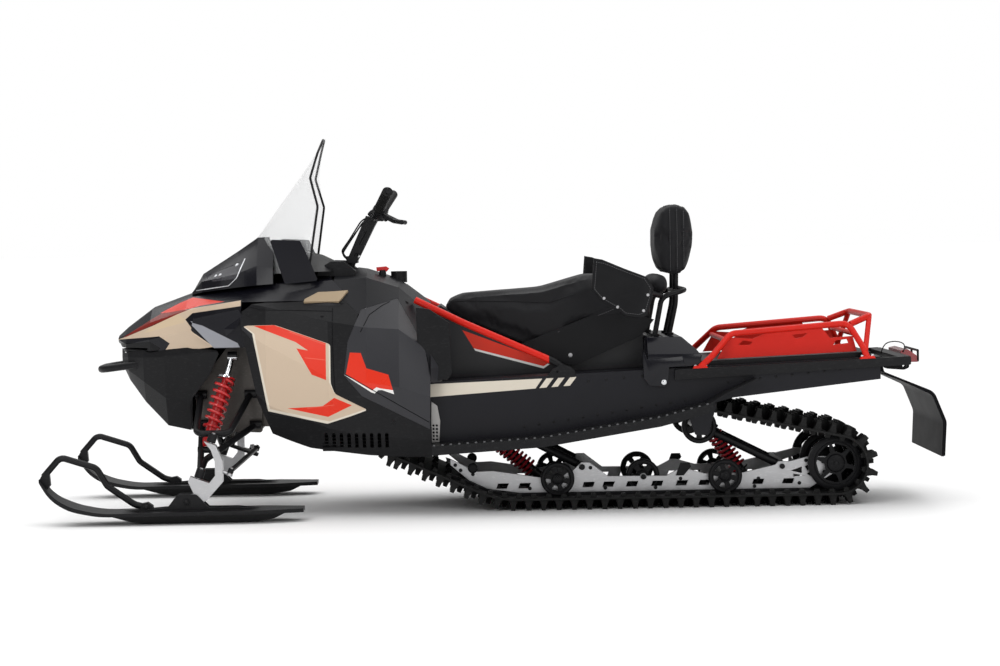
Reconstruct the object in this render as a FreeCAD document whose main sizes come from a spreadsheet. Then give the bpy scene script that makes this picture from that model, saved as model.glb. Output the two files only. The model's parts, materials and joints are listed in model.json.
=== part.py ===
"""A two-up utility snowmobile as it parks, in millimetres.

+X points to the rear, -Y to the rider's left and +Z up. The origin is on the
floor, midway along the machine and on its centre line.
"""
import FreeCAD, Part
import math
import os
from types import SimpleNamespace

V = FreeCAD.Vector

# Driving dimensions, in millimetres and degrees
SIZES = {
    # Tunnel and running boards
    "tunnel_width": 640.0,
    "tunnel_sheet": 4.0,
    "tunnel_front": -520.0,
    "tunnel_rear": 1430.0,
    "tunnel_top_front": 478.0,
    "tunnel_top_rear": 556.0,
    "board_reach": 462.0,
    "board_sheet": 5.0,
    "board_lip": 34.0,
    "board_hole": 34.0,
    # Track and the wheels inside it
    "track_width": 600.0,
    "belt_thick": 8.0,
    "lug_height": 38.0,
    "lug_rows": 54.0,
    "rear_wheel_radius": 105.0,
    "rear_axle_along": 1274.0,
    "idler_radius": 66.0,
    "idler_along": 760.0,
    "idler_height": 300.0,
    "sprocket_radius": 88.0,
    "sprocket_along": -357.0,
    "sprocket_height": 299.0,
    "curve_radius": 350.0,
    "curve_along": 74.0,
    "bogie_radius": 64.0,
    "bogie_front_along": 224.0,
    "bogie_middle_along": 550.0,
    "bogie_rear_along": 856.0,
    "wheel_width": 26.0,
    "axle_diameter": 20.0,
    "shaft_clearance": 0.3,
    "rim_clearance": 0.3,
    # Slide rails
    "rail_gauge": 370.0,
    "rail_thick": 12.0,
    "shoe_thick": 9.0,
    "rail_slot_pitch": 94.5,
    "rail_slot_length": 53.0,
    "rail_slot_height": 17.0,
    # Suspension arms inside the track
    "arm_tube": 30.0,
    "arm_spread": 260.0,
    "front_arm_top_along": 30.0,
    "front_arm_top_height": 300.0,
    "front_arm_foot_along": 318.0,
    "front_arm_foot_height": 150.0,
    "rear_arm_foot_along": 1075.0,
    "rear_arm_foot_height": 140.0,
    # Skis and steering
    "ski_stance": 930.0,
    "ski_width": 170.0,
    "ski_tip_along": -1675.0,
    "ski_tail_along": -715.0,
    "ski_bolt_along": -1140.0,
    "ski_bolt_height": 78.0,
    "ski_bolt": 16.0,
    "keel_depth": 34.0,
    "ski_plate": 12.0,
    "ski_saddle": 64.0,
    "loop_tube": 24.0,
    "steer_tilt": 20.0,
    "kingpin_along": -1097.0,
    "kingpin_height": 166.0,
    "kingpin_length": 146.0,
    "spindle_thick": 36.0,
    "steer_arm": 104.0,
    "steer_arm_side": 14.0,
    "rod_diameter": 18.0,
    "pitman_along": -1020.0,
    "pitman_height": 262.0,
    "joint_clearance": 0.5,
    # Front suspension
    "wishbone_tube": 24.0,
    "bulkhead_width": 330.0,
    "bulkhead_sheet": 6.0,
    "shock_body": 38.0,
    "coil_diameter": 62.0,
    "coil_wire": 9.0,
    "coil_turns": 6.0,
    "shock_top_side": 250.0,
    "shock_foot_side": 335.0,
    # Bodywork
    "panel_thick": 5.0,
    "panel_split": 0.3,
    "screen_thick": 4.0,
    "brace_tube": 26.0,
    # Seat and passenger place
    "seat_width": 330.0,
    "backrest_width": 320.0,
    "shell_thick": 12.0,
    "post_tube": 20.0,
    # Rack and deck
    "deck_width": 560.0,
    "deck_thick": 18.0,
    "engine_width": 300.0,
    "base_width": 260.0,
    "lamp_width": 260.0,
    "housing_width": 430.0,
    "flap_inset": 20.0,
    "vent_slots": 9.0,
    "lens_thick": 10.0,
    "grille_depth": 16.0,
    "skid_coil": 58.0,
    "skid_shaft": 14.0,
    "deck_hole": 9.0,
    "deck_hole_pitch": 400.0,
    "hitch_bore": 16.4,
    "rack_tube": 24.0,
    "rack_bend": 45.0,
    # Handlebar
    "bar_diameter": 22.0,
    "grip_diameter": 36.0,
    "bar_half": 390.0,
    "post_diameter": 30.0,
}

doc = FreeCAD.newDocument("snowmobile")
sheet = doc.addObject("Spreadsheet::Sheet", "Sizes")
for row, (alias, value) in enumerate(SIZES.items(), 1):
    sheet.set(f"A{row}", alias)
    sheet.set(f"B{row}", str(value))
    sheet.setAlias(f"B{row}", alias)
doc.recompute()
d = SimpleNamespace(**{alias: float(sheet.get(alias)) for alias in SIZES})

nodes = []


# Helpers for outlines, plates, tubes and pairs

def rounded(points, radius=0.0, closed=False):
    """A wire through the points, its corners rounded by tangent arcs.

    radius is one number, or one per point; an open wire keeps its two ends sharp.
    """
    points = [V(*p) for p in points]
    count = len(points)
    radii = list(radius) if hasattr(radius, "__len__") else [radius] * count
    if not closed:
        radii[0] = radii[-1] = 0.0
    corners = []
    for i, corner in enumerate(points):
        before, after = points[i - 1], points[(i + 1) % count]
        if radii[i] <= 0.0:
            corners.append((corner, None, corner))
            continue
        into, out = (before - corner).normalize(), (after - corner).normalize()
        half = into.getAngle(out) / 2
        reach = radii[i] / math.tan(half)
        middle = corner + (into + out).normalize() * (radii[i] / math.sin(half) - radii[i])
        corners.append((corner + into * reach, middle, corner + out * reach))
    edges = []
    for i, (start, middle, end) in enumerate(corners):
        if middle is not None:
            edges.append(Part.Arc(start, middle, end).toShape())
        following = corners[(i + 1) % count][0]
        if (closed or i < count - 1) and (following - end).Length > 1e-6:
            edges.append(Part.makeLine(end, following))
    return Part.Wire(edges)


def side_face(outline, radius=0.0, y=0.0):
    """A flat face from an outline of (x, z) points, seen from the side."""
    return Part.Face(rounded([(x, y, z) for x, z in outline], radius, closed=True))


def slab(outline, y_low, y_high, radius=0.0):
    """A side outline extruded from y_low to y_high."""
    return side_face(outline, radius, y_low).extrude(V(0, y_high - y_low, 0))


def plan_slab(outline, z_low, z_high, radius=0.0):
    """A plan outline of (x, y) points extruded from z_low to z_high."""
    wire = rounded([(x, y, z_low) for x, y in outline], radius, closed=True)
    return Part.Face(wire).extrude(V(0, 0, z_high - z_low))


def tube(points, diameter, bend=0.0):
    """A round bar along straight runs joined by tangent bends."""
    path = rounded(points, bend)
    start, direction = V(*points[0]), V(*points[1]) - V(*points[0])
    circle = Part.Wire(Part.makeCircle(diameter / 2, start, direction))
    return path.makePipeShell([circle], True, False)


def rod(start, end, diameter):
    """A round bar between two points."""
    start, end = V(*start), V(*end)
    return Part.makeCylinder(diameter / 2, (end - start).Length, start, end - start)


def cross_bar(x, z, y_low, y_high, diameter):
    """A round bar across the machine."""
    return rod((x, y_low, z), (x, y_high, z), diameter)


def mirrored(shape):
    """The same piece on the other side."""
    return shape.mirror(V(0, 0, 0), V(0, 1, 0))


def both(shape):
    """The piece and its mirror image as one compound."""
    return Part.makeCompound([shape, mirrored(shape)])


def fused(first, *others):
    """One solid from several that meet."""
    joined = first.multiFuse(list(others)).removeSplitter()
    return joined.Solids[0] if len(joined.Solids) == 1 else joined


def loft(sections, ruled=True):
    """A solid through closed sections of as many points each."""
    wires = [Part.makePolygon([V(*p) for p in section + section[:1]]) for section in sections]
    return Part.makeLoft(wires, True, ruled)


def node(label, shape):
    """A finished sub-part whose shape is worked out from the sheet's values."""
    piece = doc.addObject("Part::Feature", label)
    piece.Label = label
    piece.Shape = shape
    nodes.append(piece)
    return piece


# Helpers for bodies with sketches

def origin_plane(body, role):
    """One of the body's own origin planes."""
    return next(plane for plane in body.Origin.OriginFeatures if plane.Role == role)


def new_body(label, kept=True):
    """An empty body, listed as a sub-part unless it is only a helper."""
    body = doc.addObject("PartDesign::Body", label)
    body.Label = label
    if kept:
        nodes.append(body)
    return body


def new_sketch(body, name, role, wires):
    """A sketch on an origin plane, with the given flat wires or circles."""
    sketch = body.newObject("Sketcher::SketchObject", name)
    sketch.AttachmentSupport = (origin_plane(body, role), [""])
    sketch.MapMode = "FlatFace"
    for wire in wires:
        for edge in wire.Edges:
            curve = edge.Curve
            if isinstance(curve, Part.Line):
                ends = [vertex.Point for vertex in edge.Vertexes]
                sketch.addGeometry(Part.LineSegment(*ends))
            elif edge.isClosed():
                sketch.addGeometry(Part.Circle(curve.Center, V(0, 0, 1), curve.Radius))
            else:
                first, last = edge.ParameterRange
                points = [edge.valueAt(first), edge.valueAt((first + last) / 2), edge.valueAt(last)]
                sketch.addGeometry(Part.Arc(*points))
    return sketch


def flat(outline, radius=0.0):
    """A closed outline in a sketch's own two coordinates."""
    return rounded([(a, b, 0) for a, b in outline], radius, closed=True)


def pad(body, name, sketch, length, midplane=True):
    """A pad whose length is an expression of the sheet's sizes."""
    feature = body.newObject("PartDesign::Pad", name)
    feature.Profile = sketch
    feature.Midplane = midplane
    feature.setExpression("Length", length)
    doc.recompute()
    return feature


def side_body(label, outline, width, radius=0.0):
    """A sub-part padded to both sides of the centre plane from its side outline."""
    body = new_body(label)
    pad(body, label + "_pad", new_sketch(body, label + "_side", "XZ_Plane", [flat(outline, radius)]), width)
    return body


def pocket(body, name, sketch, length):
    """A cut to both sides of its sketch."""
    feature = body.newObject("PartDesign::Pocket", name)
    feature.Profile = sketch
    feature.Midplane = True
    feature.setExpression("Length", length)
    doc.recompute()
    return feature


# Worked-out places that several pieces share

half_track = d.track_width / 2
belt_inner = d.lug_height + d.belt_thick
rear_axle = (d.rear_axle_along, belt_inner + d.rear_wheel_radius)
idler = (d.idler_along, d.idler_height)
sprocket = (d.sprocket_along, d.sprocket_height)
front_curve = (d.curve_along, belt_inner + d.curve_radius)
tunnel_slope = (d.tunnel_top_rear - d.tunnel_top_front) / (d.tunnel_rear - d.tunnel_front)


def tunnel_top(x):
    """Height of the tunnel's top sheet at x."""
    return d.tunnel_top_front + tunnel_slope * (x - d.tunnel_front)


# Steering geometry: two tilted kingpins and a pitman arm on parallel axes

tilt = math.radians(d.steer_tilt)
up_axis = V(math.sin(tilt), 0, math.cos(tilt))
rear_axis = V(math.cos(tilt), 0, -math.sin(tilt))
half_stance = d.ski_stance / 2
kingpin = V(d.kingpin_along, -half_stance, d.kingpin_height)
pitman = V(d.pitman_along, 0, d.pitman_height)
eye_rise = 62.0
eye_outer = kingpin + up_axis * eye_rise + rear_axis * d.steer_arm + V(0, -d.steer_arm_side, 0)
eye_inner = pitman + rear_axis * d.steer_arm + V(0, -d.steer_arm_side, 0)
pin = 10.0
eye_diameter = 22.0
ball_pin = 14.0


def along_axis(base, low, high, diameter):
    """A cylinder on a line parallel to the kingpins, between two heights along it."""
    return Part.makeCylinder(diameter / 2, high - low, base + up_axis * low, up_axis)


post_base = V(-546, 0, 923)


def on_post(height):
    """A point on the steering axis at a height above the floor."""
    return post_base + up_axis * ((height - post_base.z) / up_axis.z)


# Track: a belt round four wheels' curves, with rows of lugs

def belt_line(offset):
    """The loop round the wheels at an offset outside their rims: tangent runs and arcs."""
    wheels = [(front_curve, d.curve_radius), (rear_axle, d.rear_wheel_radius),
              (idler, d.idler_radius), (sprocket, d.sprocket_radius)]
    wheels = [(V(x, 0, z), radius + offset) for (x, z), radius in wheels]
    count = len(wheels)
    normals = []
    for i, (centre, radius) in enumerate(wheels):
        following, next_radius = wheels[(i + 1) % count]
        run = following - centre
        angle = math.atan2(run.z, run.x) - math.pi / 2 + math.asin((radius - next_radius) / run.Length)
        normals.append(angle)
    edges = []
    for i, (centre, radius) in enumerate(wheels):
        angle_in, angle_out = normals[i - 1], normals[i]
        while angle_out < angle_in:
            angle_out += 2 * math.pi
        start, middle, end = [centre + V(math.cos(a), 0, math.sin(a)) * radius
                              for a in (angle_in, (angle_in + angle_out) / 2, angle_out)]
        edges.append(Part.Arc(start, middle, end).toShape())
        following, next_radius = wheels[(i + 1) % count]
        landing = following + V(math.cos(angle_out), 0, math.sin(angle_out)) * next_radius
        edges.append(Part.makeLine(end, landing))
    return Part.Wire(edges)


def loop_slab(offset, y_low, y_high):
    """All that lies inside the loop at an offset, from y_low to y_high."""
    face = Part.Face(belt_line(offset))
    face.translate(V(0, y_low, 0))
    return face.extrude(V(0, y_high - y_low, 0))


def make_track():
    """The endless belt with its staggered lugs, as one solid."""
    belt = loop_slab(d.belt_thick, -half_track, half_track).cut(
        loop_slab(0.0, -half_track - 1, half_track + 1))
    outer = belt_line(d.belt_thick)
    rows = int(d.lug_rows)
    places = outer.discretize(Number=rows + 1)[:-1]
    near = outer.discretize(Number=rows * 20 + 1)
    foot, tip = 15.0, 8.0
    lugs = []
    for row, place in enumerate(places):
        after = near[(row * 20 + 1) % (rows * 20)]
        along = (after - place).normalize()
        out = V(along.z, 0, -along.x)
        corners = [place - along * foot - out * (d.belt_thick / 2),
                   place + along * foot - out * (d.belt_thick / 2),
                   place + along * tip + out * d.lug_height,
                   place - along * tip + out * d.lug_height]
        face = Part.Face(Part.makePolygon(corners + corners[:1]))
        if row % 2:
            spans = [(-0.95, -0.58), (-0.2, 0.2), (0.58, 0.95)]
        else:
            spans = [(-0.56, -0.22), (0.22, 0.56)]
        for low, high in spans:
            lug = face.copy()
            lug.translate(V(0, low * half_track, 0))
            lugs.append(lug.extrude(V(0, (high - low) * half_track, 0)))
    return belt.multiFuse(lugs)


track = make_track()
node("track", track)


# Slide rails with their slots, and the shoes under them

def make_rail_bodies():
    """The left rail as a padded outline with its row of slots."""
    shoe_top = belt_inner + d.shoe_thick
    lowest = shoe_top + 30
    front = [(-186, 182), (-92, 140), (-20, 140), (100, 124), (165, 112), (250, 134), (330, 172), (362, 164),
             (410, 117), (640, 117), (692, 143), (722, 143), (780, 116), (926, 116), (1172, 168)]
    rear = [(d.rear_axle_along + 26, rear_axle[1] + 24), (d.rear_axle_along + 26, rear_axle[1] - 24),
            (1180, shoe_top), (80, shoe_top)]
    curve = [(-40, shoe_top + 16), (-196, shoe_top + 83)]
    body = new_body("rail_left", kept=False)
    outline = new_sketch(body, "rail_outline", "XZ_Plane", [flat(front + rear + curve, 0.0)])
    pad(body, "rail_pad", outline, "Sizes.rail_thick")
    half_length, half_height, lean = d.rail_slot_length / 2, d.rail_slot_height / 2, 9.0
    base, height = 20.0, 92.0
    slot = [(base - half_length, height - half_height), (base + half_length - lean, height - half_height),
            (base + half_length, height + half_height), (base - half_length + lean, height + half_height)]
    slots = new_sketch(body, "slot_outline", "XZ_Plane", [flat(slot, 0.0)])
    cut = pocket(body, "slot_pocket", slots, "Sizes.rail_thick * 2")
    pattern = body.newObject("PartDesign::LinearPattern", "slot_row")
    pattern.Originals = [cut]
    pattern.Direction = (slots, ["H_Axis"])
    pattern.Occurrences = 12
    pattern.setExpression("Length", "Sizes.rail_slot_pitch * 11")
    body.Tip = pattern
    doc.recompute()
    return body


rail = make_rail_bodies()
rail_place = d.rail_gauge / 2
inside_belt = loop_slab(-d.shoe_thick, -half_track, half_track)
shaft_hole = d.axle_diameter / 2 + d.shaft_clearance
cross_shafts = [(d.bogie_front_along, belt_inner + d.bogie_radius), (d.bogie_rear_along, belt_inner + d.bogie_radius),
                (d.bogie_middle_along, belt_inner + d.bogie_radius), rear_axle,
                (d.front_arm_foot_along, d.front_arm_foot_height), (d.rear_arm_foot_along, d.rear_arm_foot_height)]


def make_rails():
    """Both rails, trimmed to the belt's curve and bored for the shafts."""
    plate = rail.Shape.copy()
    for x, z in cross_shafts:
        boss = Part.makeCylinder(24, d.rail_thick, V(x, -d.rail_thick / 2, z), V(0, 1, 0))
        plate = plate.fuse(boss)
    plate = plate.removeSplitter()
    plate.translate(V(0, -rail_place, 0))
    plate = plate.common(inside_belt)
    for x, z in cross_shafts:
        plate = plate.cut(Part.makeCylinder(shaft_hole, half_track, V(x, -half_track, z), V(0, 1, 0)))
    return both(plate)


node("slide_rails", make_rails())

shoe = loop_slab(0.0, -rail_place - 15, -rail_place + 15).cut(loop_slab(-d.shoe_thick, -half_track, half_track))
shoe = shoe.common(Part.makeBox(1370, half_track, 210, V(-190, -half_track, 0)))
node("slide_shoes", both(shoe))


# Wheels: bogies, idlers and rear wheels on shafts through the rails

def wheel(x, z, radius, y, width, holes=6):
    """A spoked rubber-rimmed wheel, its hub on the shaft's line and its rim just inside the belt."""
    half = width / 2
    radius -= d.rim_clearance
    profile = [(0, -half * 1.2), (radius * 0.34, -half * 1.2), (radius * 0.38, -half * 0.4), (radius * 0.74, -half * 0.4),
               (radius * 0.78, -half), (radius, -half), (radius, half), (radius * 0.78, half),
               (radius * 0.74, half * 0.4), (radius * 0.38, half * 0.4), (radius * 0.34, half * 1.2), (0, half * 1.2)]
    face = Part.Face(Part.makePolygon([V(r, t, 0) for r, t in profile + profile[:1]]))
    solid = face.revolve(V(0, 0, 0), V(0, 1, 0), 360)
    for k in range(holes):
        angle = 2 * math.pi * k / holes
        place = V(math.cos(angle), 0, math.sin(angle)) * (radius * 0.56) + V(0, -half, 0)
        solid = solid.cut(Part.makeCylinder(radius * 0.13, width, place, V(0, 1, 0)))
    solid.translate(V(x, y, z))
    return solid


def wheel_set(x, z, radius, places, reach, holes=6):
    """A cross shaft with its wheels, as one solid."""
    shaft = cross_bar(x, z, -reach, reach, d.axle_diameter)
    return fused(shaft, *[wheel(x, z, radius, y, d.wheel_width, holes) for y in places])


outside = rail_place + 15 + d.wheel_width * 0.6 + 2
bogie_height = belt_inner + d.bogie_radius
bogies = [wheel_set(x, bogie_height, d.bogie_radius, (-outside, outside), outside + d.wheel_width * 0.7)
          for x in (d.bogie_front_along, d.bogie_rear_along)]
inner_place = rail_place - 15 - d.wheel_width * 0.6 - 2
bogies.append(wheel_set(d.bogie_middle_along, bogie_height, d.bogie_radius, (-inner_place, inner_place),
                        rail_place + d.rail_thick / 2 + 8))
rear_set = wheel_set(rear_axle[0], rear_axle[1], d.rear_wheel_radius, (-outside, 0, outside),
                     outside + d.wheel_width * 0.7)

idler_reach = d.tunnel_width / 2 - d.tunnel_sheet
idler_set = wheel_set(idler[0], idler[1], d.idler_radius, (-outside, outside), idler_reach)
node("suspension_wheels", Part.makeCompound(bogies + [rear_set, idler_set]))


# Drive axle with toothed sprockets

def make_drive_axle():
    """The drive shaft between the tunnel walls with two toothed drivers."""
    x, z = sprocket
    shaft = cross_bar(x, z, -idler_reach, idler_reach, d.axle_diameter * 1.6)
    teeth = 9
    drivers = []
    for y in (-110.0, 110.0):
        driver = Part.makeCylinder(d.sprocket_radius * 0.78, 44, V(x, y - 22, z), V(0, 1, 0))
        for k in range(teeth):
            angle = 360.0 * k / teeth
            tooth = Part.makeBox(d.sprocket_radius - 1, 44, 16, V(0, y - 22, -8))
            tooth.rotate(V(0, 0, 0), V(0, 1, 0), angle)
            tooth.translate(V(x, 0, z))
            driver = driver.fuse(tooth)
        drivers.append(driver)
    return fused(shaft, *drivers)


node("drive_axle", make_drive_axle())


# Suspension arms and dampers inside the track

def make_arm(top, foot):
    """An H-shaped arm: two tubes between two cross tubes."""
    half = d.arm_spread / 2
    legs = [rod((top[0], y, top[1]), (foot[0], y, foot[1]), d.arm_tube) for y in (-half, half)]
    upper = cross_bar(top[0], top[1], -half - 30, half + 30, d.arm_tube * 1.3)
    lower = cross_bar(foot[0], foot[1], -rail_place + d.rail_thick, rail_place - d.rail_thick, d.arm_tube * 1.3)
    upper_shaft = cross_bar(top[0], top[1], -idler_reach, idler_reach, d.axle_diameter)
    lower_shaft = cross_bar(foot[0], foot[1], -rail_place - 16, rail_place + 16, d.axle_diameter)
    return fused(upper, lower, upper_shaft, lower_shaft, *legs)


front_arm = make_arm((d.front_arm_top_along, d.front_arm_top_height),
                     (d.front_arm_foot_along, d.front_arm_foot_height))


def make_rear_arm():
    """The rear arm hangs on the return idlers' shaft, with a gap round it."""
    half = d.arm_spread / 2
    top, foot = idler, (d.rear_arm_foot_along, d.rear_arm_foot_height)
    legs = [rod((top[0], y, top[1]), (foot[0], y, foot[1]), d.arm_tube) for y in (-half, half)]
    upper = cross_bar(top[0], top[1], -half - 22, half + 22, d.arm_tube * 1.4)
    lower = cross_bar(foot[0], foot[1], -rail_place + d.rail_thick, rail_place - d.rail_thick, d.arm_tube * 1.3)
    lower_shaft = cross_bar(foot[0], foot[1], -rail_place - 16, rail_place + 16, d.axle_diameter)
    lug = slab([(760, 279), (760, 318), (816, 309), (830, 290), (816, 272)], 24.3, 32, [0, 0, 12, 14, 12])
    arm = fused(upper, lower, lower_shaft, lug, mirrored(lug), *legs)
    return arm.cut(cross_bar(top[0], top[1], -half_track, half_track, d.axle_diameter + 2 * d.shaft_clearance))


node("swing_arms", Part.makeCompound([front_arm, make_rear_arm()]))


# Tunnel: an inverted channel whose lower edge rises to the rear

def make_tunnel():
    """The tunnel as a pad from the side, hollowed from below."""
    half = d.tunnel_width / 2
    front, rear = d.tunnel_front, d.tunnel_rear
    sheet_high = d.tunnel_sheet
    body = new_body("tunnel_channel", kept=False)
    outline = [(front, 248), (front, tunnel_top(front)), (rear, tunnel_top(rear)), (rear, tunnel_top(rear) - 84),
               (877, 412), (800, 392), (596, 352), (162, 282), (-240, 254)]
    pad(body, "tunnel_pad", new_sketch(body, "tunnel_side", "XZ_Plane", [flat(outline)]), "Sizes.tunnel_width")
    hollow = [(front + sheet_high, 0), (front + sheet_high, tunnel_top(front) - sheet_high),
              (rear + 50, tunnel_top(rear + 50) - sheet_high), (rear + 50, 0)]
    pocket(body, "tunnel_hollow", new_sketch(body, "tunnel_inside", "XZ_Plane", [flat(hollow)]),
           "Sizes.tunnel_width - 2 * Sizes.tunnel_sheet")
    shape = body.Shape
    hanger = slab([(idler[0] - 60, 380), (idler[0] - 24, idler[1] - 26), (idler[0] + 24, idler[1] - 26),
                   (idler[0] + 60, 400)], -half, -half + d.tunnel_sheet, 10)
    front_hanger = slab([(d.front_arm_top_along - 60, 330), (d.front_arm_top_along - 60, d.front_arm_top_height - 40),
                         (d.front_arm_top_along + 60, d.front_arm_top_height - 40), (d.front_arm_top_along + 60, 330)],
                        -half, -half + d.tunnel_sheet, 10)
    pieces = [hanger, mirrored(hanger), front_hanger, mirrored(front_hanger)]
    return fused(shape, *pieces)


deck_middle = 1085.0
pitch = d.deck_hole_pitch / 2
deck_holes = Part.makeCompound([Part.makeCylinder(d.deck_hole / 2, 100, V(deck_middle + x * pitch, y * pitch, 500))
                                for x in (-1, 1) for y in (-1, 1)])
node("tunnel", make_tunnel().cut(deck_holes))


# Running boards with traction holes, a folded lip and toe stops

board_line = [(-250, 262), (162, 286), (596, 354), (769, 398), (836, 434), (960, 486)]


def make_board():
    """The left board: a bent plate, its lip below the outer edge, and rows of holes."""
    inner, outer = -d.tunnel_width / 2, -d.board_reach
    top = board_line
    under = [(x, z - d.board_sheet) for x, z in reversed(top)]
    lip = [(x, z - d.board_lip) for x, z in reversed(top)]
    plate = slab(top + under, outer, inner)
    edge = slab(top + lip, outer, outer + d.board_sheet)
    plan = plan_slab([(-243.7, inner), (960, inner), (960, inner - 70), (780, outer), (-243.7, outer)], 0, 600)
    board = fused(plate, edge).common(plan)
    pitch = d.board_hole * 1.55
    holes = []
    for row in range(2):
        y = inner + (outer - inner) * (0.36 + 0.32 * row)
        x = -190 + row * pitch / 2
        while x < 760:
            holes.append(Part.makeCylinder(d.board_hole / 2, 400, V(x, y, 200)))
            x += pitch
    return board.cut(Part.makeCompound(holes))


node("running_boards", both(make_board()))


# Deck over the tunnel, its side rails and the hitch

deck = new_body("cargo_deck")
deck_front, deck_rear = deck_middle - 315, deck_middle + 315
deck_line = [(deck_front, tunnel_top(deck_front)), (deck_front, tunnel_top(deck_front) + d.deck_thick),
             (deck_rear, tunnel_top(deck_rear) + d.deck_thick), (deck_rear, tunnel_top(deck_rear))]
pad(deck, "deck_pad", new_sketch(deck, "deck_side", "XZ_Plane", [flat(deck_line)]), "Sizes.deck_width")
hole_ring = [Part.Wire(Part.makeCircle(d.deck_hole / 2, V(deck_middle + x * pitch, y * pitch, 0)))
             for x in (-1, 1) for y in (-1, 1)]
pocket(deck, "deck_holes", new_sketch(deck, "deck_plan", "XY_Plane", hole_ring), "4 * Sizes.tunnel_top_rear")

rail_low, rail_high = d.tunnel_width / 2, d.tunnel_width / 2 + 22
side_bar = slab([(660, tunnel_top(660) - 42), (660, tunnel_top(660) - 4), (1540, tunnel_top(1540) - 4),
                 (1540, tunnel_top(1540) - 36)], -rail_high, -rail_low, 6)
cross_member = slab([(1500, tunnel_top(1500) - 34), (1500, tunnel_top(1500) - 6), (1540, tunnel_top(1540) - 4),
                     (1540, tunnel_top(1540) - 34)], -rail_low, rail_low)
ear = slab([(1500, 530), (1500, 492), (1572, 486), (1592, 494), (1592, 514), (1574, 519.5), (1539, 519.5), (1538, 530)],
           -24, -14, [0, 8, 14, 10, 10, 14, 0, 0])
ear = ear.cut(cross_bar(1574, 503, -40, 0, d.hitch_bore))
node("deck_side_rails", fused(side_bar, mirrored(side_bar), cross_member, ear, mirrored(ear)))


# Red cargo rack of bent tube

def make_rack():
    """Two side hoops, a raised rear hoop and cross tubes on the deck."""
    side = d.deck_width / 2 - d.rack_tube / 2
    seat = tunnel_top(1000) + d.deck_thick - tunnel_slope * 1000 + 0.3

    def deck_at(x):
        return seat + tunnel_slope * x

    hoop = tube([(790, -side, deck_at(790) + 10), (878, -side, 648), (1318, -side, 680), (1372, -side, deck_at(1372) + 10)],
                d.rack_tube, [0, d.rack_bend, d.rack_bend, 0])
    feet = [Part.makeBox(44, d.rack_tube + 4, 8, V(x - 22, -side - d.rack_tube / 2 - 2, deck_at(x + 22)))
            for x in (790, 1372)]
    wall = slab([(830, deck_at(830) + 2), (868, 634), (960, 628), (1010, 648), (1220, 664), (1250, 626), (1352, 632),
                 (1364, deck_at(1364) + 2)], -side - 2, -side + 2)
    bars = [cross_bar(x, z, -side, side, d.rack_tube * 0.8) for x, z in ((858, 618), (1356, 630))]
    raised = tube([(1330, -side, 674), (1404, -side + 26, 706), (1404, side - 26, 706), (1330, side, 674)],
                  d.rack_tube, [0, 30, 30, 0])
    stay = rod((1372, -side, deck_at(1372) + 12), (1400, -side + 30, 700), d.rack_tube * 0.8)
    return fused(hoop, mirrored(hoop), wall, mirrored(wall), raised, stay, mirrored(stay), *feet,
                 *[mirrored(foot) for foot in feet], *bars)


node("cargo_rack", make_rack())


# Tail: light bar, snow flap

def make_flap():
    """The rubber snow flap, a thick curved sheet behind the track."""
    hang = d.tunnel_rear + 0.3
    front = [(hang, 500), (hang, d.tunnel_top_rear - 1)]
    outer = [(hang + 8, d.tunnel_top_rear - 1), (hang + 16, 492), (1630, 416), (1675, 306), (1668, 176)]
    under = [(1660, 176), (1666, 306), (1625, 408)]
    side_body("snow_flap", front + outer + under, "Sizes.tunnel_width - 2 * Sizes.flap_inset",
              [0, 0, 0, 30, 40, 60, 0, 0, 52, 34])


make_flap()
side_body("tail_light", [(1540.3, 522), (1540.3, 566), (1566, 572), (1610, 540), (1605, 522)], "Sizes.lamp_width",
          [0, 0, 10, 10, 4])


# Master form of the bodywork: half sections at stations along the machine

stations = {
    -1436: [(0, 640), (20, 642), (34, 648), (40, 656), (34, 662), (16, 668), (0, 670)],
    -1400: [(0, 560), (70, 580), (100, 610), (108, 640), (90, 675), (40, 698), (0, 702)],
    -1300: [(0, 540), (140, 590), (185, 612), (196, 660), (165, 722), (80, 768), (0, 776)],
    -1160: [(0, 520), (190, 600), (245, 625), (262, 690), (232, 768), (110, 812), (0, 826)],
    -1040: [(0, 500), (220, 560), (300, 632), (318, 700), (280, 790), (150, 830), (0, 850)],
    -945: [(0, 300), (250, 330), (345, 520), (352, 700), (300, 800), (170, 850), (0, 870)],
    -850: [(0, 262), (300, 276), (374, 420), (392, 640), (345, 780), (220, 860), (0, 900)],
    -620: [(0, 236), (330, 242), (400, 330), (430, 520), (398, 725), (262, 872), (0, 930)],
    -480: [(0, 222), (340, 224), (410, 300), (436, 500), (396, 700), (240, 880), (0, 910)],
    -360: [(0, 214), (344, 216), (414, 290), (430, 480), (372, 690), (200, 840), (0, 870)],
    -244: [(0, 212), (346, 214), (408, 280), (416, 440), (350, 600), (150, 740), (0, 780)],
}


def inset(points, by):
    """The half section moved inwards, except on the centre plane where it moves up or down."""
    moved = []
    last = len(points) - 1
    for i, (y, z) in enumerate(points):
        if i == 0:
            moved.append((0, z + by))
            continue
        if i == last:
            moved.append((0, z - by))
            continue
        (ya, za), (yb, zb) = points[i - 1], points[i + 1]
        first, second = V(y - ya, z - za, 0).normalize(), V(yb - y, zb - z, 0).normalize()
        bisector = (V(-first.y, first.x, 0) + V(-second.y, second.x, 0)).normalize()
        spread = max(0.5, bisector.dot(V(-first.y, first.x, 0)))
        moved.append((y + bisector.x * by / spread, z + bisector.y * by / spread))
    return moved


def form(by, x_low=-1e9, x_high=1e9):
    """The closed master form, inset by a wall, between two stations."""
    sections = []
    for x, half in stations.items():
        if not x_low <= x <= x_high:
            continue
        points = inset(half, by) if by else half
        right = [(x, y, z) for y, z in points]
        left = [(x, -y, z) for y, z in points[-2:0:-1]]
        sections.append(right + left)
    return loft(sections)


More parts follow.
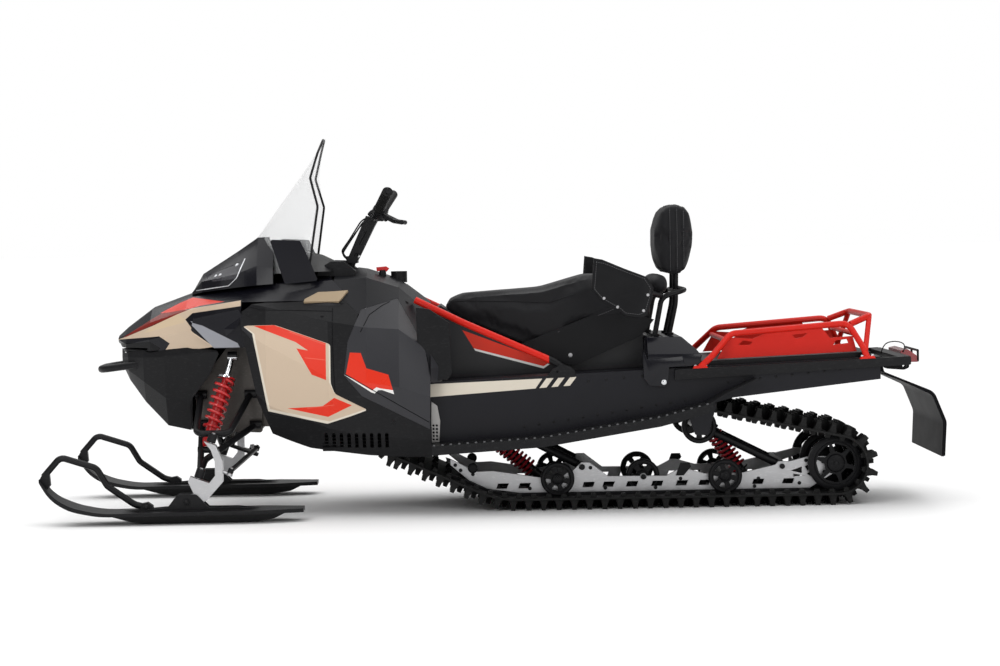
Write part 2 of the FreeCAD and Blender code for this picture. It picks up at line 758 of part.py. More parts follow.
outer_form = form(0.0)
inner_form = form(d.panel_thick)


body_shell = outer_form.cut(inner_form)


def grown(outline, by, radius=0.0):
    """A side outline widened all round, as a slab through the machine."""
    return side_face(outline, radius, -600).makeOffset2D(by, 2).extrude(V(0, 1200, 0))


def side_pair(outline, radius=0.0, inner=-60.0):
    """A panel of the left wall and its mirror image."""
    piece = body_shell.common(slab(outline, -600, inner, radius))
    return both(piece)


vent_outline = [(-711, 785), (-668, 813), (-549, 822), (-578, 781)]
grille_outline = [(-1440, 640), (-1296, 652), (-1258, 628), (-1284, 590), (-1270, 560), (-1440, 560)]
hood_outline = [(-1437, 560), (-1437, 830), (-1160, 900), (-1160, 1000), (-622, 1000), (-622, 889), (-560, 829),
                (-620, 800), (-940, 798), (-950, 714), (-1045, 634), (-1142, 620), (-1260, 600), (-1424, 580)]
cowl = body_shell.common(slab(hood_outline, -600, 600)).cut(slab(grille_outline, -600, 600))
cowl = cowl.cut(grown(vent_outline, d.panel_split))
grille_front, grille_back = inner_form.copy(), inner_form.copy()
grille_front.translate(V(1, 0, 0))
grille_back.translate(V(d.grille_depth, 0, 0))
grille = grille_front.cut(grille_back).common(
    slab([(-1440, 652), (-1292, 660), (-1244, 630), (-1268, 590), (-1254, 548), (-1440, 548)], -600, 600))
bars = [Part.makeBox(130, 400, 7, V(-1440, -200, z)) for z in (584, 602, 620)]
node("nose_grille", grille.cut(Part.makeCompound(bars)))
node("nose_cowl", cowl.cut(rod(tuple(on_post(700)), tuple(on_post(1100)), 60)))
side_outline = [(-944, 703), (-922, 712), (-816, 714), (-611, 641), (-611, 498), (-597, 459), (-474, 396),
                (-627, 348), (-845, 387), (-896, 665)]
side_round = [6, 30, 60, 14, 30, 30, 6, 10, 14, 120]
node("side_panels", Part.makeCompound([side_pair(side_outline, side_round), side_pair(vent_outline, 0.0, -150.0)]))


knee_outline = [(-498, 764), (-366, 800), (-313, 708), (-264, 610), (-245, 514), (-250, 322), (-498, 450),
                (-562, 527), (-547, 650)]
cover_outline = [(-600, 980), (-600, 812), (-560, 800), (-498, 740), (-366, 770), (-330, 690), (-256, 590),
                 (-244, 500), (-244, 980)]
flank_outline = [(-941, 820), (-624, 820), (-572, 840), (-502, 780), (-530, 650), (-540, 524), (-480, 446),
                 (-244, 330), (-244, 212), (-400, 212), (-630, 230), (-812, 250), (-886, 440), (-941, 700)]
flank = body_shell.common(slab(flank_outline, -600, -d.tunnel_width / 2 - 0.3)).cut(
    grown(side_outline, d.panel_split, side_round))
for outline in (hood_outline, knee_outline, cover_outline, vent_outline):
    flank = flank.cut(grown(outline, d.panel_split))
slot_low, slot_high, slot_pitch, slot_width = 254.0, 312.0, 28.0, 13.0
slots = [slab([(x, slot_low), (x + slot_width, slot_low), (x + slot_width, slot_high), (x, slot_high)], -600, -200,
              [2, 2, 6, 6]) for x in (-640 + slot_pitch * k for k in range(int(d.vent_slots)))]
flank = flank.cut(Part.makeCompound(slots))
node("flank_panels", both(flank))
post_hole = rod(tuple(on_post(700)), tuple(on_post(1100)), 60)
cap_hole = Part.makeCylinder(31.3, 90, V(-363, 0, 830))
cover = body_shell.common(slab(cover_outline, -600, 600)).cut(grown(hood_outline, d.panel_split))
cover = cover.cut(grown(knee_outline, d.panel_split)).cut(grown(vent_outline, d.panel_split))
cover = cover.cut(post_hole).cut(cap_hole)
node("tank_cover", cover)


cover_rear = -243.7
intake_rear = -203.0
intake = loft([[(cover_rear, -150, tunnel_top(cover_rear) + 2), (cover_rear, -385, tunnel_top(cover_rear) + 2),
                (cover_rear, -392, 545), (cover_rear, -350, 604), (cover_rear, -190, 712), (cover_rear, -150, 712)],
               [(intake_rear, -150, tunnel_top(cover_rear) + 2), (intake_rear, -335, tunnel_top(cover_rear) + 2),
                (intake_rear, -340, 552), (intake_rear, -306, 600), (intake_rear, -180, 668),
                (intake_rear, -150, 668)]])
node("knee_panels", Part.makeCompound([side_pair(knee_outline, 0.0, -150.0), both(intake)]))


def bumper_bar(diameter):
    """The bar bent round the nose."""
    return tube([(-1290, -150, 572), (-1500, -95, 545), (-1500, 95, 545), (-1290, 150, 572)], diameter,
                [0, 60, 60, 0])


def make_belly():
    """The lower nose: a thin-walled keel open to the rear and above."""
    belly_stations = {
        -1420: [(0, 552), (36, 556), (56, 566), (60, 590), (56, 630), (0, 640)],
        -1391: [(0, 492), (66, 502), (100, 540), (114, 590), (98, 640), (0, 650)],
        -1327: [(0, 404), (110, 420), (160, 500), (176, 592), (154, 645), (0, 655)],
        -1241: [(0, 320), (140, 332), (205, 440), (226, 596), (196, 650), (0, 660)],
        -1150: [(0, 302), (165, 314), (232, 430), (262, 606), (238, 660), (0, 670)],
        -1030: [(0, 292), (170, 304), (240, 430), (292, 616), (270, 670), (0, 680)],
    }
    shapes = []
    for by in (0.0, d.panel_thick):
        sections = []
        for x, half in belly_stations.items():
            points = inset(half, by) if by else half
            points[-1] = (0, points[-1][1] + by * 3) if by else points[-1]
            sections.append([(x, y, z) for y, z in points] + [(x, -y, z) for y, z in points[-2:0:-1]])
        shapes.append(loft(sections))
    outer, inner = shapes
    trim = slab([(-1500, 200), (-1500, 700), (-1020, 700), (-1030, 610), (-1070, 528), (-1138, 440), (-1146, 336),
                 (-1168, 290)], -500, 500)
    return outer.cut(inner).common(trim).cut(form(-d.panel_split)).cut(bumper_bar(28.6))


node("belly_pan", make_belly())


# Headlight pod, lens, screen and deflectors

def make_pod():
    """The headlight housing on the hood, a wedge with a ridge."""
    sections = {
        -1150: [(60, 822), (60, 830), (20, 832)],
        -1107: [(120, 832), (110, 872), (45, 900)],
        -968: [(205, 850), (212, 900), (90, 985)],
        -890: [(238, 858), (225, 930), (120, 1036)],
        -828: [(250, 862), (240, 920), (150, 1036)],
    }
    return loft([[(x, y, z) for y, z in half] + [(x, -y, z) for y, z in half[::-1]]
                 for x, half in sections.items()])


screen_levels = [(900, -930, -690, 262), (1030, -906, -684, 250), (1150, -818, -664, 225), (1260, -735, -676, 186),
                 (1350, -672, -660, 120), (1408, -641, -640, 42)]


def screen_wire(z, centre, edge, half, near, far):
    """The bent strip at one height, between two offsets inside its outer face."""
    outer = Part.Arc(V(edge + near, -half + near, z), V(centre + near, 0, z), V(edge + near, half - near, z)).toShape()
    inner = Part.Arc(V(edge + far, half - far, z), V(centre + far, 0, z), V(edge + far, -half + far, z)).toShape()
    first = Part.makeLine(V(edge + near, half - near, z), V(edge + far, half - far, z))
    last = Part.makeLine(V(edge + far, -half + far, z), V(edge + near, -half + near, z))
    return Part.Wire([outer, first, inner, last])


def behind_screen(offset):
    """All the room behind the screen's outer face moved inwards by an offset."""
    wires = []
    for z, centre, edge, half in screen_levels[:3]:
        left, right = V(edge + offset, -half + offset, z), V(edge + offset, half - offset, z)
        arc = Part.Arc(left, V(centre + offset, 0, z), right).toShape()
        back = Part.makePolygon([right, V(-300, half - offset, z), V(-300, -half + offset, z), left])
        wires.append(Part.Wire([arc] + back.Edges))
    return Part.makeLoft(wires, True, True)


def make_screen():
    """The windshield, a thin sheet bent round the rider."""
    return Part.makeLoft([screen_wire(*level, 0.0, d.screen_thick) for level in screen_levels], True, True)


pod = make_pod().cut(outer_form).cut(behind_screen(-0.3))
pod = max(pod.Solids, key=lambda s: s.Volume)
lens_outline = [(-1098, 893), (-1060, 872), (-962, 884), (-934, 952), (-1000, 926)]
deep = pod.copy()
deep.translate(V(6, d.lens_thick, -d.lens_thick))
lens = pod.common(slab(lens_outline, -400, -20, [4, 10, 16, 10, 20])).cut(deep)
deep.translate(V(d.panel_split, d.panel_split, -d.panel_split))
recess = grown(lens_outline, d.panel_split, [4, 10, 16, 10, 20]).common(Part.makeBox(600, 380, 600, V(-1200, -400, 600)))
recess = recess.cut(deep)
node("headlight_pod", pod.cut(recess).cut(mirrored(recess)))
node("headlight_lenses", both(max(lens.Solids, key=lambda s: s.Volume)))
node("windshield", make_screen())

deflector_side = 272.0


def make_deflector():
    """The left wind deflector beside the screen's foot."""
    outline = [(-835, 1028), (-722, 1022), (-694, 962), (-658, 872), (-782, 862)]
    return slab(outline, -deflector_side - 6, -deflector_side, 8)


node("wind_deflectors", both(make_deflector()))

dash_half = deflector_side - 0.3
dash_steps = [(-900, 905, 1010, dash_half, 190), (-828, 905, 1004, dash_half, 170),
              (-660, 905, 964, dash_half, 130), (-610, 905, 940, 220, 110)]
dash = loft([[(x, -wide, low), (x, wide, low), (x, narrow, high), (x, -narrow, high)]
             for x, low, high, wide, narrow in dash_steps])
dash = dash.cut(outer_form).cut(rod(tuple(on_post(700)), tuple(on_post(1100)), 60))
dash = dash.common(fused(behind_screen(d.screen_thick + 0.3), Part.makeBox(100, 600, 300, V(-685, -300, 800))))
node("dash_console", max(dash.Solids, key=lambda s: s.Volume))


# Seat, its base and the passenger's backrest

def make_seat():
    """The two-up seat as one closed solid, narrower at the nose."""
    outline = [(-205, 768), (-168, 800), (170, 822), (262, 846), (345, 868), (520, 866), (590, 840),
               (600, 702), (330, 640), (215, 560), (0, 652), (-120, 706)]
    block = slab(outline, -d.seat_width / 2, d.seat_width / 2, [0, 40, 200, 120, 90, 60, 40, 0, 0, 0, 0, 0])
    plan = plan_slab([(-210, -60), (0, -120), (260, -d.seat_width / 2), (700, -d.seat_width / 2),
                      (700, d.seat_width / 2), (260, d.seat_width / 2), (0, 120), (-210, 60)], 400, 1000)
    return block.common(plan)


node("seat", make_seat())

base_rear = 559.7
base_outline = [(-243.7, tunnel_top(-243.7) + 0.3), (-243.7, 740), (-205, 767.7), (-120, 705.7), (0, 651.7),
                (215, 559.7), (330, 639.7), (base_rear, 689), (base_rear, tunnel_top(base_rear) + 0.3)]
side_body("seat_base", base_outline, "Sizes.base_width")

brace_seat = tunnel_top(262) + d.brace_tube / 2 + 0.3
brace = tube([(-300, -206, 792), (-120, -240, 704), (215, -296, 556), (262, -300, brace_seat)], d.brace_tube,
             [0, 400, 60, 0])
brace_foot = Part.makeBox(60, 36, 8, V(234, -318, tunnel_top(294) + 0.3))
node("brace_tubes", both(fused(brace, brace_foot)))

pad_low = 880.0
shell_side = 330.0
side_body("backrest_pad", [(640, pad_low), (622, 930), (640, 1122), (690, 1134), (744, 1112), (732, 920),
                           (716, pad_low)], "Sizes.backrest_width", [14, 60, 28, 30, 28, 60, 14])
housing_top = 640.0
post = tube([(664, -80, housing_top + 4), (690, -80, 760), (692, -80, pad_low - 0.3)], d.post_tube, [0, 200, 0])
loop = tube([(600, -190, housing_top + 4), (628, -190, 787), (716, -190, 812), (716, 190, 812), (628, 190, 787),
             (600, 190, housing_top + 4)], d.post_tube, 40)
feet = [Part.makeCylinder(17, 8, V(x, side * y, housing_top + 0.3)) for x, y in ((664, 80), (600, 190))
        for side in (-1, 1)]
handle_side = shell_side - d.shell_thick - 0.3 - d.post_tube / 2
handle = tube([(628, -190, 790), (560, -handle_side, 810), (410, -handle_side, 850)], d.post_tube, 40)
node("backrest_frame", fused(loop, post, mirrored(post), cross_bar(690, 805, -190, 190, d.post_tube),
                             handle, mirrored(handle), *feet))
side_body("tail_housing", [(570, tunnel_top(570) + 0.3), (560, housing_top), (690, housing_top), (756, 574),
                           (756, tunnel_top(756) + 0.3)], "Sizes.housing_width", [0, 14, 60, 10, 0])


def make_shell():
    """The left grip and wind shell beside the passenger."""
    outline = [(368, 941), (400, 950), (563, 877), (600, 830), (580, 800), (545, 705), (475, 748), (392, 786),
               (352, 850)]
    return slab(outline, -shell_side, -shell_side + d.shell_thick, 18)


node("passenger_shells", both(make_shell()))


def make_spindle():
    """The left forged leg: top, swept back web, jaw, foot for the ski bolt and steering arm."""
    half = d.spindle_thick / 2
    top = kingpin + up_axis * (d.kingpin_length - 14)
    jaw = kingpin - up_axis * 6
    corners = [top - rear_axis * 24, top + rear_axis * 22, V(-1008, 0, 226), V(-1008, 0, 148), V(-1066, 0, 84)]
    foot_radius = 22.0
    bolt = V(d.ski_bolt_along, 0, d.ski_bolt_height)
    corners += [bolt + V(30, 0, -foot_radius), bolt + V(0, 0, -foot_radius), bolt + V(0, 0, foot_radius),
                bolt + V(26, 0, foot_radius + 6), jaw - rear_axis * 30 - up_axis * 22, jaw - rear_axis * 30,
                jaw + rear_axis * 44, V(-1036, 0, 172), V(-1036, 0, 226), V(-1050, 0, 266)]
    outline = [(p.x, p.z) for p in corners]
    leg = slab(outline, -half_stance - half, -half_stance + half)
    leg = leg.fuse(cross_bar(bolt.x, bolt.z, -half_stance - half, -half_stance + half, 2 * foot_radius))
    arm_start = kingpin + up_axis * (eye_rise - 14) + rear_axis * (d.steer_arm - 42)
    arm_end = eye_outer - up_axis * 14
    arm = rod(tuple(arm_start), tuple(arm_end), 12)
    leg = fused(leg, arm, along_axis(eye_outer, -19, -10, eye_diameter), along_axis(eye_outer, -12, 12, pin),
                along_axis(kingpin, -16, 36, ball_pin),
                along_axis(kingpin, d.kingpin_length - 20, d.kingpin_length + 26, ball_pin))
    bore = cross_bar(bolt.x, bolt.z, -half_stance - 60, -half_stance + 60, d.ski_bolt + 2 * d.joint_clearance)
    return leg.cut(bore)


spindle = make_spindle()
node("spindle_left", spindle)
node("spindle_right", mirrored(spindle))


def make_tie_rod():
    """The left rod between its two bored eyes."""
    body = fused(rod(tuple(eye_outer), tuple(eye_inner), d.rod_diameter),
                 along_axis(eye_outer, -8, 8, eye_diameter), along_axis(eye_inner, -8, 8, eye_diameter))
    bores = [along_axis(eye, -30, 30, pin + 2 * d.joint_clearance) for eye in (eye_outer, eye_inner)]
    return body.cut(Part.makeCompound(bores))


tie_rod = make_tie_rod()
node("tie_rod_left", tie_rod)
node("tie_rod_right", mirrored(tie_rod))


def make_pitman():
    """The arm that pushes both tie rods, bored for its pivot."""
    corners = [(-12, -22), (d.steer_arm - 20, -30), (d.steer_arm + 14, -30), (d.steer_arm + 14, 30),
               (d.steer_arm - 20, 30), (-12, 22)]
    base = pitman - up_axis * 26
    outline = rounded([tuple(base + rear_axis * a + V(0, y, 0)) for a, y in corners], 10, closed=True)
    plate = Part.Face(outline).extrude(up_axis * 9)
    pins = [along_axis(pitman + rear_axis * d.steer_arm + V(0, side * d.steer_arm_side, 0), -20, 12, pin)
            for side in (-1, 1)]
    body = fused(plate, along_axis(pitman, -26, 10, 40), *pins)
    return body.cut(along_axis(pitman, -40, 40, 16 + 2 * d.joint_clearance))


node("steering_pitman", make_pitman())
pitman_pin = along_axis(pitman, -28, 62, 16)


# Front frame, wishbones, shocks and springs

def make_front_frame():
    """Two bulkhead plates joined by cross members, with the pitman's pin below."""
    side = d.bulkhead_width / 2
    plate = slab([(-1134, 314), (-1132, 470), (-1010, 628), (-920, 650), (-884, 640), (-884, 300)],
                 -side, -side + d.bulkhead_sheet, 12)
    floor = Part.makeBox(244, d.bulkhead_width, d.bulkhead_sheet, V(-1130, -side, 314))
    rear = Part.makeBox(d.bulkhead_sheet, d.bulkhead_width, 320, V(-890, -side, 314))
    top = cross_bar(-985, 600, -side, side, 26)
    return fused(plate, mirrored(plate), floor, rear, top, pitman_pin)


barrel_side = d.bulkhead_width / 2 + 16.3
shock_foot = V(-1075, -d.shock_foot_side, 254)
shock_low = shock_foot + V(0, 0, d.wishbone_tube / 2 + 17.3)
shock_top = V(-985, -d.shock_top_side, 596)


def barrel(x, z):
    """A pivot barrel along the machine, beside the bulkhead."""
    return Part.makeCylinder(16, 44, V(x - 22, -barrel_side, z), V(1, 0, 0))


def make_wishbones():
    """The left lower and upper wishbones with their ball housings."""
    size = d.wishbone_tube
    low_ball, high_ball = kingpin + up_axis * 16, kingpin + up_axis * d.kingpin_length
    housing = along_axis(kingpin, -2, 32, 34)
    front = tube([tuple(low_ball), (-1110, -barrel_side, 338)], size)
    rear = tube([tuple(low_ball), (-1080, -385, 222), (-908, -barrel_side, 332)], size, 60)
    mount = rod((-1112, -d.shock_foot_side, 254), (-1030, -d.shock_foot_side, 254), size)
    lower = fused(housing, front, rear, mount, barrel(-1110, 338), barrel(-908, 332))
    lower = lower.cut(along_axis(kingpin, -10, 60, ball_pin + 2 * d.joint_clearance))
    upper_housing = along_axis(kingpin, d.kingpin_length - 10, d.kingpin_length + 22, 34)
    yoke_front, yoke_rear = (-1108, -428, 322), (-986, -428, 322)
    yoke = tube([(-1112, -barrel_side, 448), yoke_front, yoke_rear, (-926, -barrel_side, 448)], size,
                [0, 30, 30, 0])
    neck = rod(tuple(high_ball + up_axis * 8), (-1047, -426, 322), size)
    upper = fused(yoke, neck, upper_housing, barrel(-1112, 448), barrel(-926, 448))
    upper = upper.cut(along_axis(kingpin, d.kingpin_length - 30, d.kingpin_length + 60,
                                 ball_pin + 2 * d.joint_clearance))
    return lower, upper


lower_wishbone, upper_wishbone = make_wishbones()
node("wishbones", Part.makeCompound([lower_wishbone, upper_wishbone, mirrored(lower_wishbone),
                                     mirrored(upper_wishbone)]))


coil_low, coil_high = 0.2, 0.72


def make_damper(foot, top, body_diameter, low, high, coil_diameter, eye_line):
    """A damper: body, thinner rod, two spring collars and an eye at each end."""
    run = top - foot
    middle = foot + run * 0.62
    direction = V(run.x, run.y, run.z).normalize()
    seat = d.coil_wire / 2 + 0.3
    collars = [rod(tuple(foot + run * share + direction * sign * seat),
                   tuple(foot + run * share + direction * sign * (seat + 7)), coil_diameter + 6)
               for share, sign in ((low, -1), (high, 1))]
    lower = rod(tuple(foot), tuple(middle), body_diameter)
    upper = rod(tuple(middle - direction * 2), tuple(top), body_diameter * 0.62)
    eyes = [Part.makeCylinder(17, 34, place - eye_line * 17, eye_line) for place in (foot, top)]
    return fused(lower, upper, *eyes, *collars)


def make_coil(foot, top, low, high, diameter, wire, turns):
    """A coil spring round the line from foot to top, between two shares of it."""
    run = top - foot
    length = run.Length * (high - low)
    helix = Part.makeHelix(length / turns, length, diameter / 2)
    circle = Part.Wire(Part.makeCircle(wire / 2, V(diameter / 2, 0, 0), V(0, 1, 0)))
    spring = Part.Wire(helix.Edges).makePipeShell([circle], True, True)
    turn = FreeCAD.Rotation(V(0, 0, 1), run)
    spring.Placement = FreeCAD.Placement(foot + run * low, turn)
    return spring


damper = make_damper(shock_low, shock_top, d.shock_body, coil_low, coil_high, d.coil_diameter, V(1, 0, 0))
coil = make_coil(shock_low, shock_top, coil_low, coil_high, d.coil_diameter, d.coil_wire, d.coil_turns)

# Dampers and springs of the track's suspension, each between an upper and a lower shaft
skid_ends = [(V(178, 0, 92), V(-40, 0, 268), 0.2, 0.78), (V(952, 0, 96), V(810, 0, 290), 0.12, 0.84)]
skid_dampers, skid_coils = [], []
for foot, top, low, high in skid_ends:
    strut = make_damper(foot, top, d.shock_body * 0.9, low, high, d.skid_coil, V(0, 1, 0))
    reach = rail_place - d.rail_thick / 2 - 0.3
    shafts = [cross_bar(foot.x, foot.z, -reach, reach, d.skid_shaft)]
    if top.x < 0:
        shafts.append(cross_bar(top.x, top.z, -idler_reach + 0.3, idler_reach - 0.3, d.skid_shaft))
    else:
        shafts.append(cross_bar(top.x, top.z, -24, 24, d.skid_shaft))
    skid_dampers.append(fused(strut, *shafts))
    skid_coils.append(make_coil(foot, top, low, high, d.skid_coil, d.coil_wire, d.coil_turns))
node("dampers", Part.makeCompound([both(damper)] + skid_dampers))
node("coil_springs", Part.makeCompound([both(coil)] + skid_coils))


# Skis with their saddles, and the grab loops at their tips

ski_middle = -half_stance
plate_top = d.keel_depth + d.ski_plate
saddle_gap = d.spindle_thick / 2 + d.joint_clearance


def make_ski():
    """The left ski: upturned plate, keel below, saddle ears and the bolt."""
    tip, tail, deep, top = d.ski_tip_along, d.ski_tail_along, d.keel_depth, plate_top
    upper = [(tip, 170), (tip + 52, 104), (tip + 125, top + 22), (tip + 225, top), (tail, top + 4)]
    lower = [(tail, deep + 2), (tip + 220, deep), (tip + 118, deep + 20), (tip + 40, 94), (tip, 158)]
    side = slab(upper + lower, -half_stance - 100, -half_stance + 100,
                [0, 160, 260, 400, 0, 0, 400, 260, 160, 0])
    half = d.ski_width / 2
    left, right = ski_middle - half, ski_middle + half
    plan = plan_slab([(tip - 5, ski_middle - 30), (tip + 110, left + 12), (tip + 300, left), (tail - 160, left),
                      (tail, left + 40), (tail, right - 40), (tail - 160, right), (tip + 300, right),
                      (tip + 110, right - 12), (tip - 5, ski_middle + 30)], -10, 400)
    blade = side.common(plan)
    keel = slab([(tip + 230, deep + 2), (tip + 330, 8), (tip + 390, 0), (tail - 200, 0), (tail - 110, 12),
                 (tail - 60, deep + 2)], ski_middle - 22, ski_middle + 22, [0, 60, 60, 60, 60, 0])
    x, z = d.ski_bolt_along, d.ski_bolt_height
    ears = []
    for low, high in ((saddle_gap, saddle_gap + 9), (-saddle_gap - 9, -saddle_gap)):
        ears.append(slab([(x - 86, top - 6), (x - 34, z + 28), (x + 34, z + 28), (x + 96, top - 6)],
                         ski_middle + low, ski_middle + high, [0, 20, 20, 0]))
    ridges = []
    for offset in (saddle_gap, -saddle_gap - 9):
        ridges.append(slab([(tip + 240, top - 4), (x - 60, top + 14), (tail - 240, top + 12), (tail - 90, top - 4)],
                           ski_middle + offset, ski_middle + offset + 9))
    reach = saddle_gap + 16
    bolt = cross_bar(x, z, ski_middle - reach, ski_middle + reach, d.ski_bolt)
    return fused(blade, keel, bolt, *ears, *ridges)



def make_ski_loop():
    """The left ski's grab loop, from the tip back to a lug on the blade."""
    tip = d.ski_tip_along
    gap = d.loop_tube / 2 + 0.3
    points = [(tip + 14, ski_middle, 178), (tip + 76, ski_middle, 248), (tip + 206, ski_middle, 206),
              (tip + 244, ski_middle, 140), (tip + 342, ski_middle, plate_top + gap + 12),
              (tip + 392, ski_middle, plate_top + gap + 0.1)]
    return tube(points, d.loop_tube, [0, 30, 40, 40, 60, 0])


ski = Part.makeCompound([make_ski(), make_ski_loop()])
node("ski_left", ski)
node("ski_right", mirrored(ski))

node("front_bumper", bumper_bar(28.0))


# Steering post, handlebar and its frame

def make_handlebar():
    """Post, riser rails, clamp and the swept bar."""
    post = rod(tuple(on_post(770)), tuple(on_post(948)), d.post_diameter)
    rails = [tube([(-541, y, 940), (-526, y, 964), (-448, y, 1100)], 22, [0, 30, 0]) for y in (-30, 30)]
    foot = Part.makeBox(44, 92, 26, V(-562, -46, 932))
    clamp = Part.makeBox(44, 100, 30, V(-468, -50, 1090))
    bar = tube([(-388, -d.bar_half, 1199), (-440, -200, 1112), (-446, -60, 1104), (-446, 60, 1104),
                (-440, 200, 1112), (-388, d.bar_half, 1199)], d.bar_diameter, [0, 60, 60, 60, 60, 0])
    return fused(post, foot, clamp, bar, *rails)


node("handlebar", make_handlebar())


def grip_shape(low, high, diameter):
    """A sleeve on the left end of the bar, between two shares of its last run."""
    start, end = V(-440, -200, 1112), V(-388, -d.bar_half, 1199)
    run = end - start
    sleeve = rod(tuple(start + run * low), tuple(start + run * high), diameter)
    return sleeve.cut(rod(tuple(start), tuple(start + run * 1.1), d.bar_diameter + 0.6))


node("hand_grips", both(grip_shape(0.3, 0.98, d.grip_diameter)))


def make_controls():
    """The left control block with its brake lever."""
    block = grip_shape(0.04, 0.26, 46)
    lever = tube([(-416, -235, 1112), (-372, -262, 1088), (-340, -330, 1082)], 14, 24)
    return fused(block, lever)


node("bar_controls", both(make_controls()))


def add_column(frame):
    """The frame with the steering post's bearing on four struts to bulkhead and tunnel."""
    low, high = on_post(772), on_post(836)
    bearing = rod(tuple(low), tuple(high), 56)
    struts = []
    for side in (-1, 1):
        struts.append(rod((-887, side * 140, 618), tuple(on_post(800)), 26))
        foot_x, foot_z = d.tunnel_front + 30, tunnel_top(d.tunnel_front + 50) + 0.3
        struts.append(Part.makeBox(40, 40, 8, V(foot_x - 20, side * 200 - 20, foot_z)))
        struts.append(rod((foot_x, side * 200, foot_z + 14), tuple(on_post(790)), 22))
    body = fused(frame, bearing, *struts)
    return body.cut(rod(tuple(on_post(700)), tuple(on_post(900)), d.post_diameter + 2 * d.joint_clearance))


node("front_frame", add_column(make_front_frame()))

side_body("engine_block", [(-883.7, 322), (-883.7, 560), (-820, 600), (-600, 600), (-560, 560), (-560, 322)],
          "Sizes.engine_width")


# Fuel cap

cap = new_body("fuel_cap")
cap_sketch = new_sketch(cap, "cap_outline", "XY_Plane", [Part.Wire(Part.makeCircle(31, V(-363, 0, 0)))])
cap_sketch.AttachmentOffset = FreeCAD.Placement(V(0, 0, 855), FreeCAD.Rotation())
cap_pad = pad(cap, "cap_pad", cap_sketch, "Sizes.panel_thick * 8.5", midplane=False)


# Every object is sound before anything is written

doc.recompute()
for item in doc.Objects:
    if "Invalid" in item.State or "Error" in item.State:
        raise RuntimeError(f"{item.Label} did not build: {item.State}")
os.makedirs("parts", exist_ok=True)
for piece in nodes:
    if piece.Shape.isNull() or not piece.Shape.isValid():
        raise RuntimeError(f"{piece.Label} has no sound shape")
    piece.Shape.exportStep(os.path.join("parts", piece.Label + ".step"))
    box = piece.Shape.BoundBox
    print(f"{piece.Label}: {len(piece.Shape.Solids)} solids, x {box.XMin:.0f} {box.XMax:.0f},"
          f" y {box.YMin:.0f} {box.YMax:.0f}, z {box.ZMin:.0f} {box.ZMax:.0f}")
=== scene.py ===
"""A touring snowmobile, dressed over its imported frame: finishes, soft parts, glazing, trim and fasteners.

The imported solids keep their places. This script gives each of them its finish, replaces the soft ones with
sewn and stuffed pieces and some others with finer forms, and adds the trim, cables, stitching and fasteners that
the real machine shows. Lengths are in metres, +X points to the rear, -Y to the machine's left and +Z up.
"""

from __future__ import annotations

import json
import logging
import math
from dataclasses import dataclass
from enum import Enum
from typing import Any, Callable, Iterable, Sequence, Union

import bmesh
import bpy
from mathutils import Matrix, Vector
from mathutils.bvhtree import BVHTree
from mathutils.geometry import tessellate_polygon

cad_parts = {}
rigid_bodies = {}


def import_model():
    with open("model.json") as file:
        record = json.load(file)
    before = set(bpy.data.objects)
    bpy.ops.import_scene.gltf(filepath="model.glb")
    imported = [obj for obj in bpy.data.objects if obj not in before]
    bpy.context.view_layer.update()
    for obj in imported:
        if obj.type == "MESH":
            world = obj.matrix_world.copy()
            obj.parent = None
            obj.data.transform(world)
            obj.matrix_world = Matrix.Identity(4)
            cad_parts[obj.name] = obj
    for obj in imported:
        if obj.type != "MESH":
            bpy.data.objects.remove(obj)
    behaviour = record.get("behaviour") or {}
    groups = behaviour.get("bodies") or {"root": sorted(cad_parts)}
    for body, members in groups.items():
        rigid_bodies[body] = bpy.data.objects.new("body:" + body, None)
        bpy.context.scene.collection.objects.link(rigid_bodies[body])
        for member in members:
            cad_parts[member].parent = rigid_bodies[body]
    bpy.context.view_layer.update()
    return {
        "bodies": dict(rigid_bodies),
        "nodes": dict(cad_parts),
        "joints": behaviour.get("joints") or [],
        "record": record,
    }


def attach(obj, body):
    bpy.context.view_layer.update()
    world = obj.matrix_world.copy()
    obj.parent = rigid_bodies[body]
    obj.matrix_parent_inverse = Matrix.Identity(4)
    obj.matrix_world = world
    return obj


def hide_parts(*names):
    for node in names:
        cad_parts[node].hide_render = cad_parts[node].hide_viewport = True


LOG = logging.getLogger("snowmobile")
Colour = tuple[float, float, float]
Flat = tuple[float, float]
Point = tuple[float, float, float]
Seat = tuple[Point, Point]
Value = Union[float, int, Colour, "Wire"]
Mesh = bpy.types.Mesh
Object = bpy.types.Object
BMesh = bmesh.types.BMesh


class Body(str, Enum):
    """The moving bodies that a piece can ride on."""

    CHASSIS = "chassis"
    HANDLEBAR = "handlebar"
    SKI_LEFT = "ski_left"
    SKI_RIGHT = "ski_right"


# Outlines

SEAM_OVERLAP = 0.0004
STRAIGHT = 1e-9


def turn(a: Flat, b: Flat, c: Flat) -> float:
    """Positive where the way from a over b to c turns left."""
    return (b[0] - a[0]) * (c[1] - b[1]) - (b[1] - a[1]) * (c[0] - b[0])


def is_convex(loop: Sequence[Flat]) -> bool:
    """True if a left-turning loop has no hollow corner."""
    size = len(loop)
    return all(turn(loop[i - 2], loop[i - 1], loop[i]) > -STRAIGHT for i in range(size))


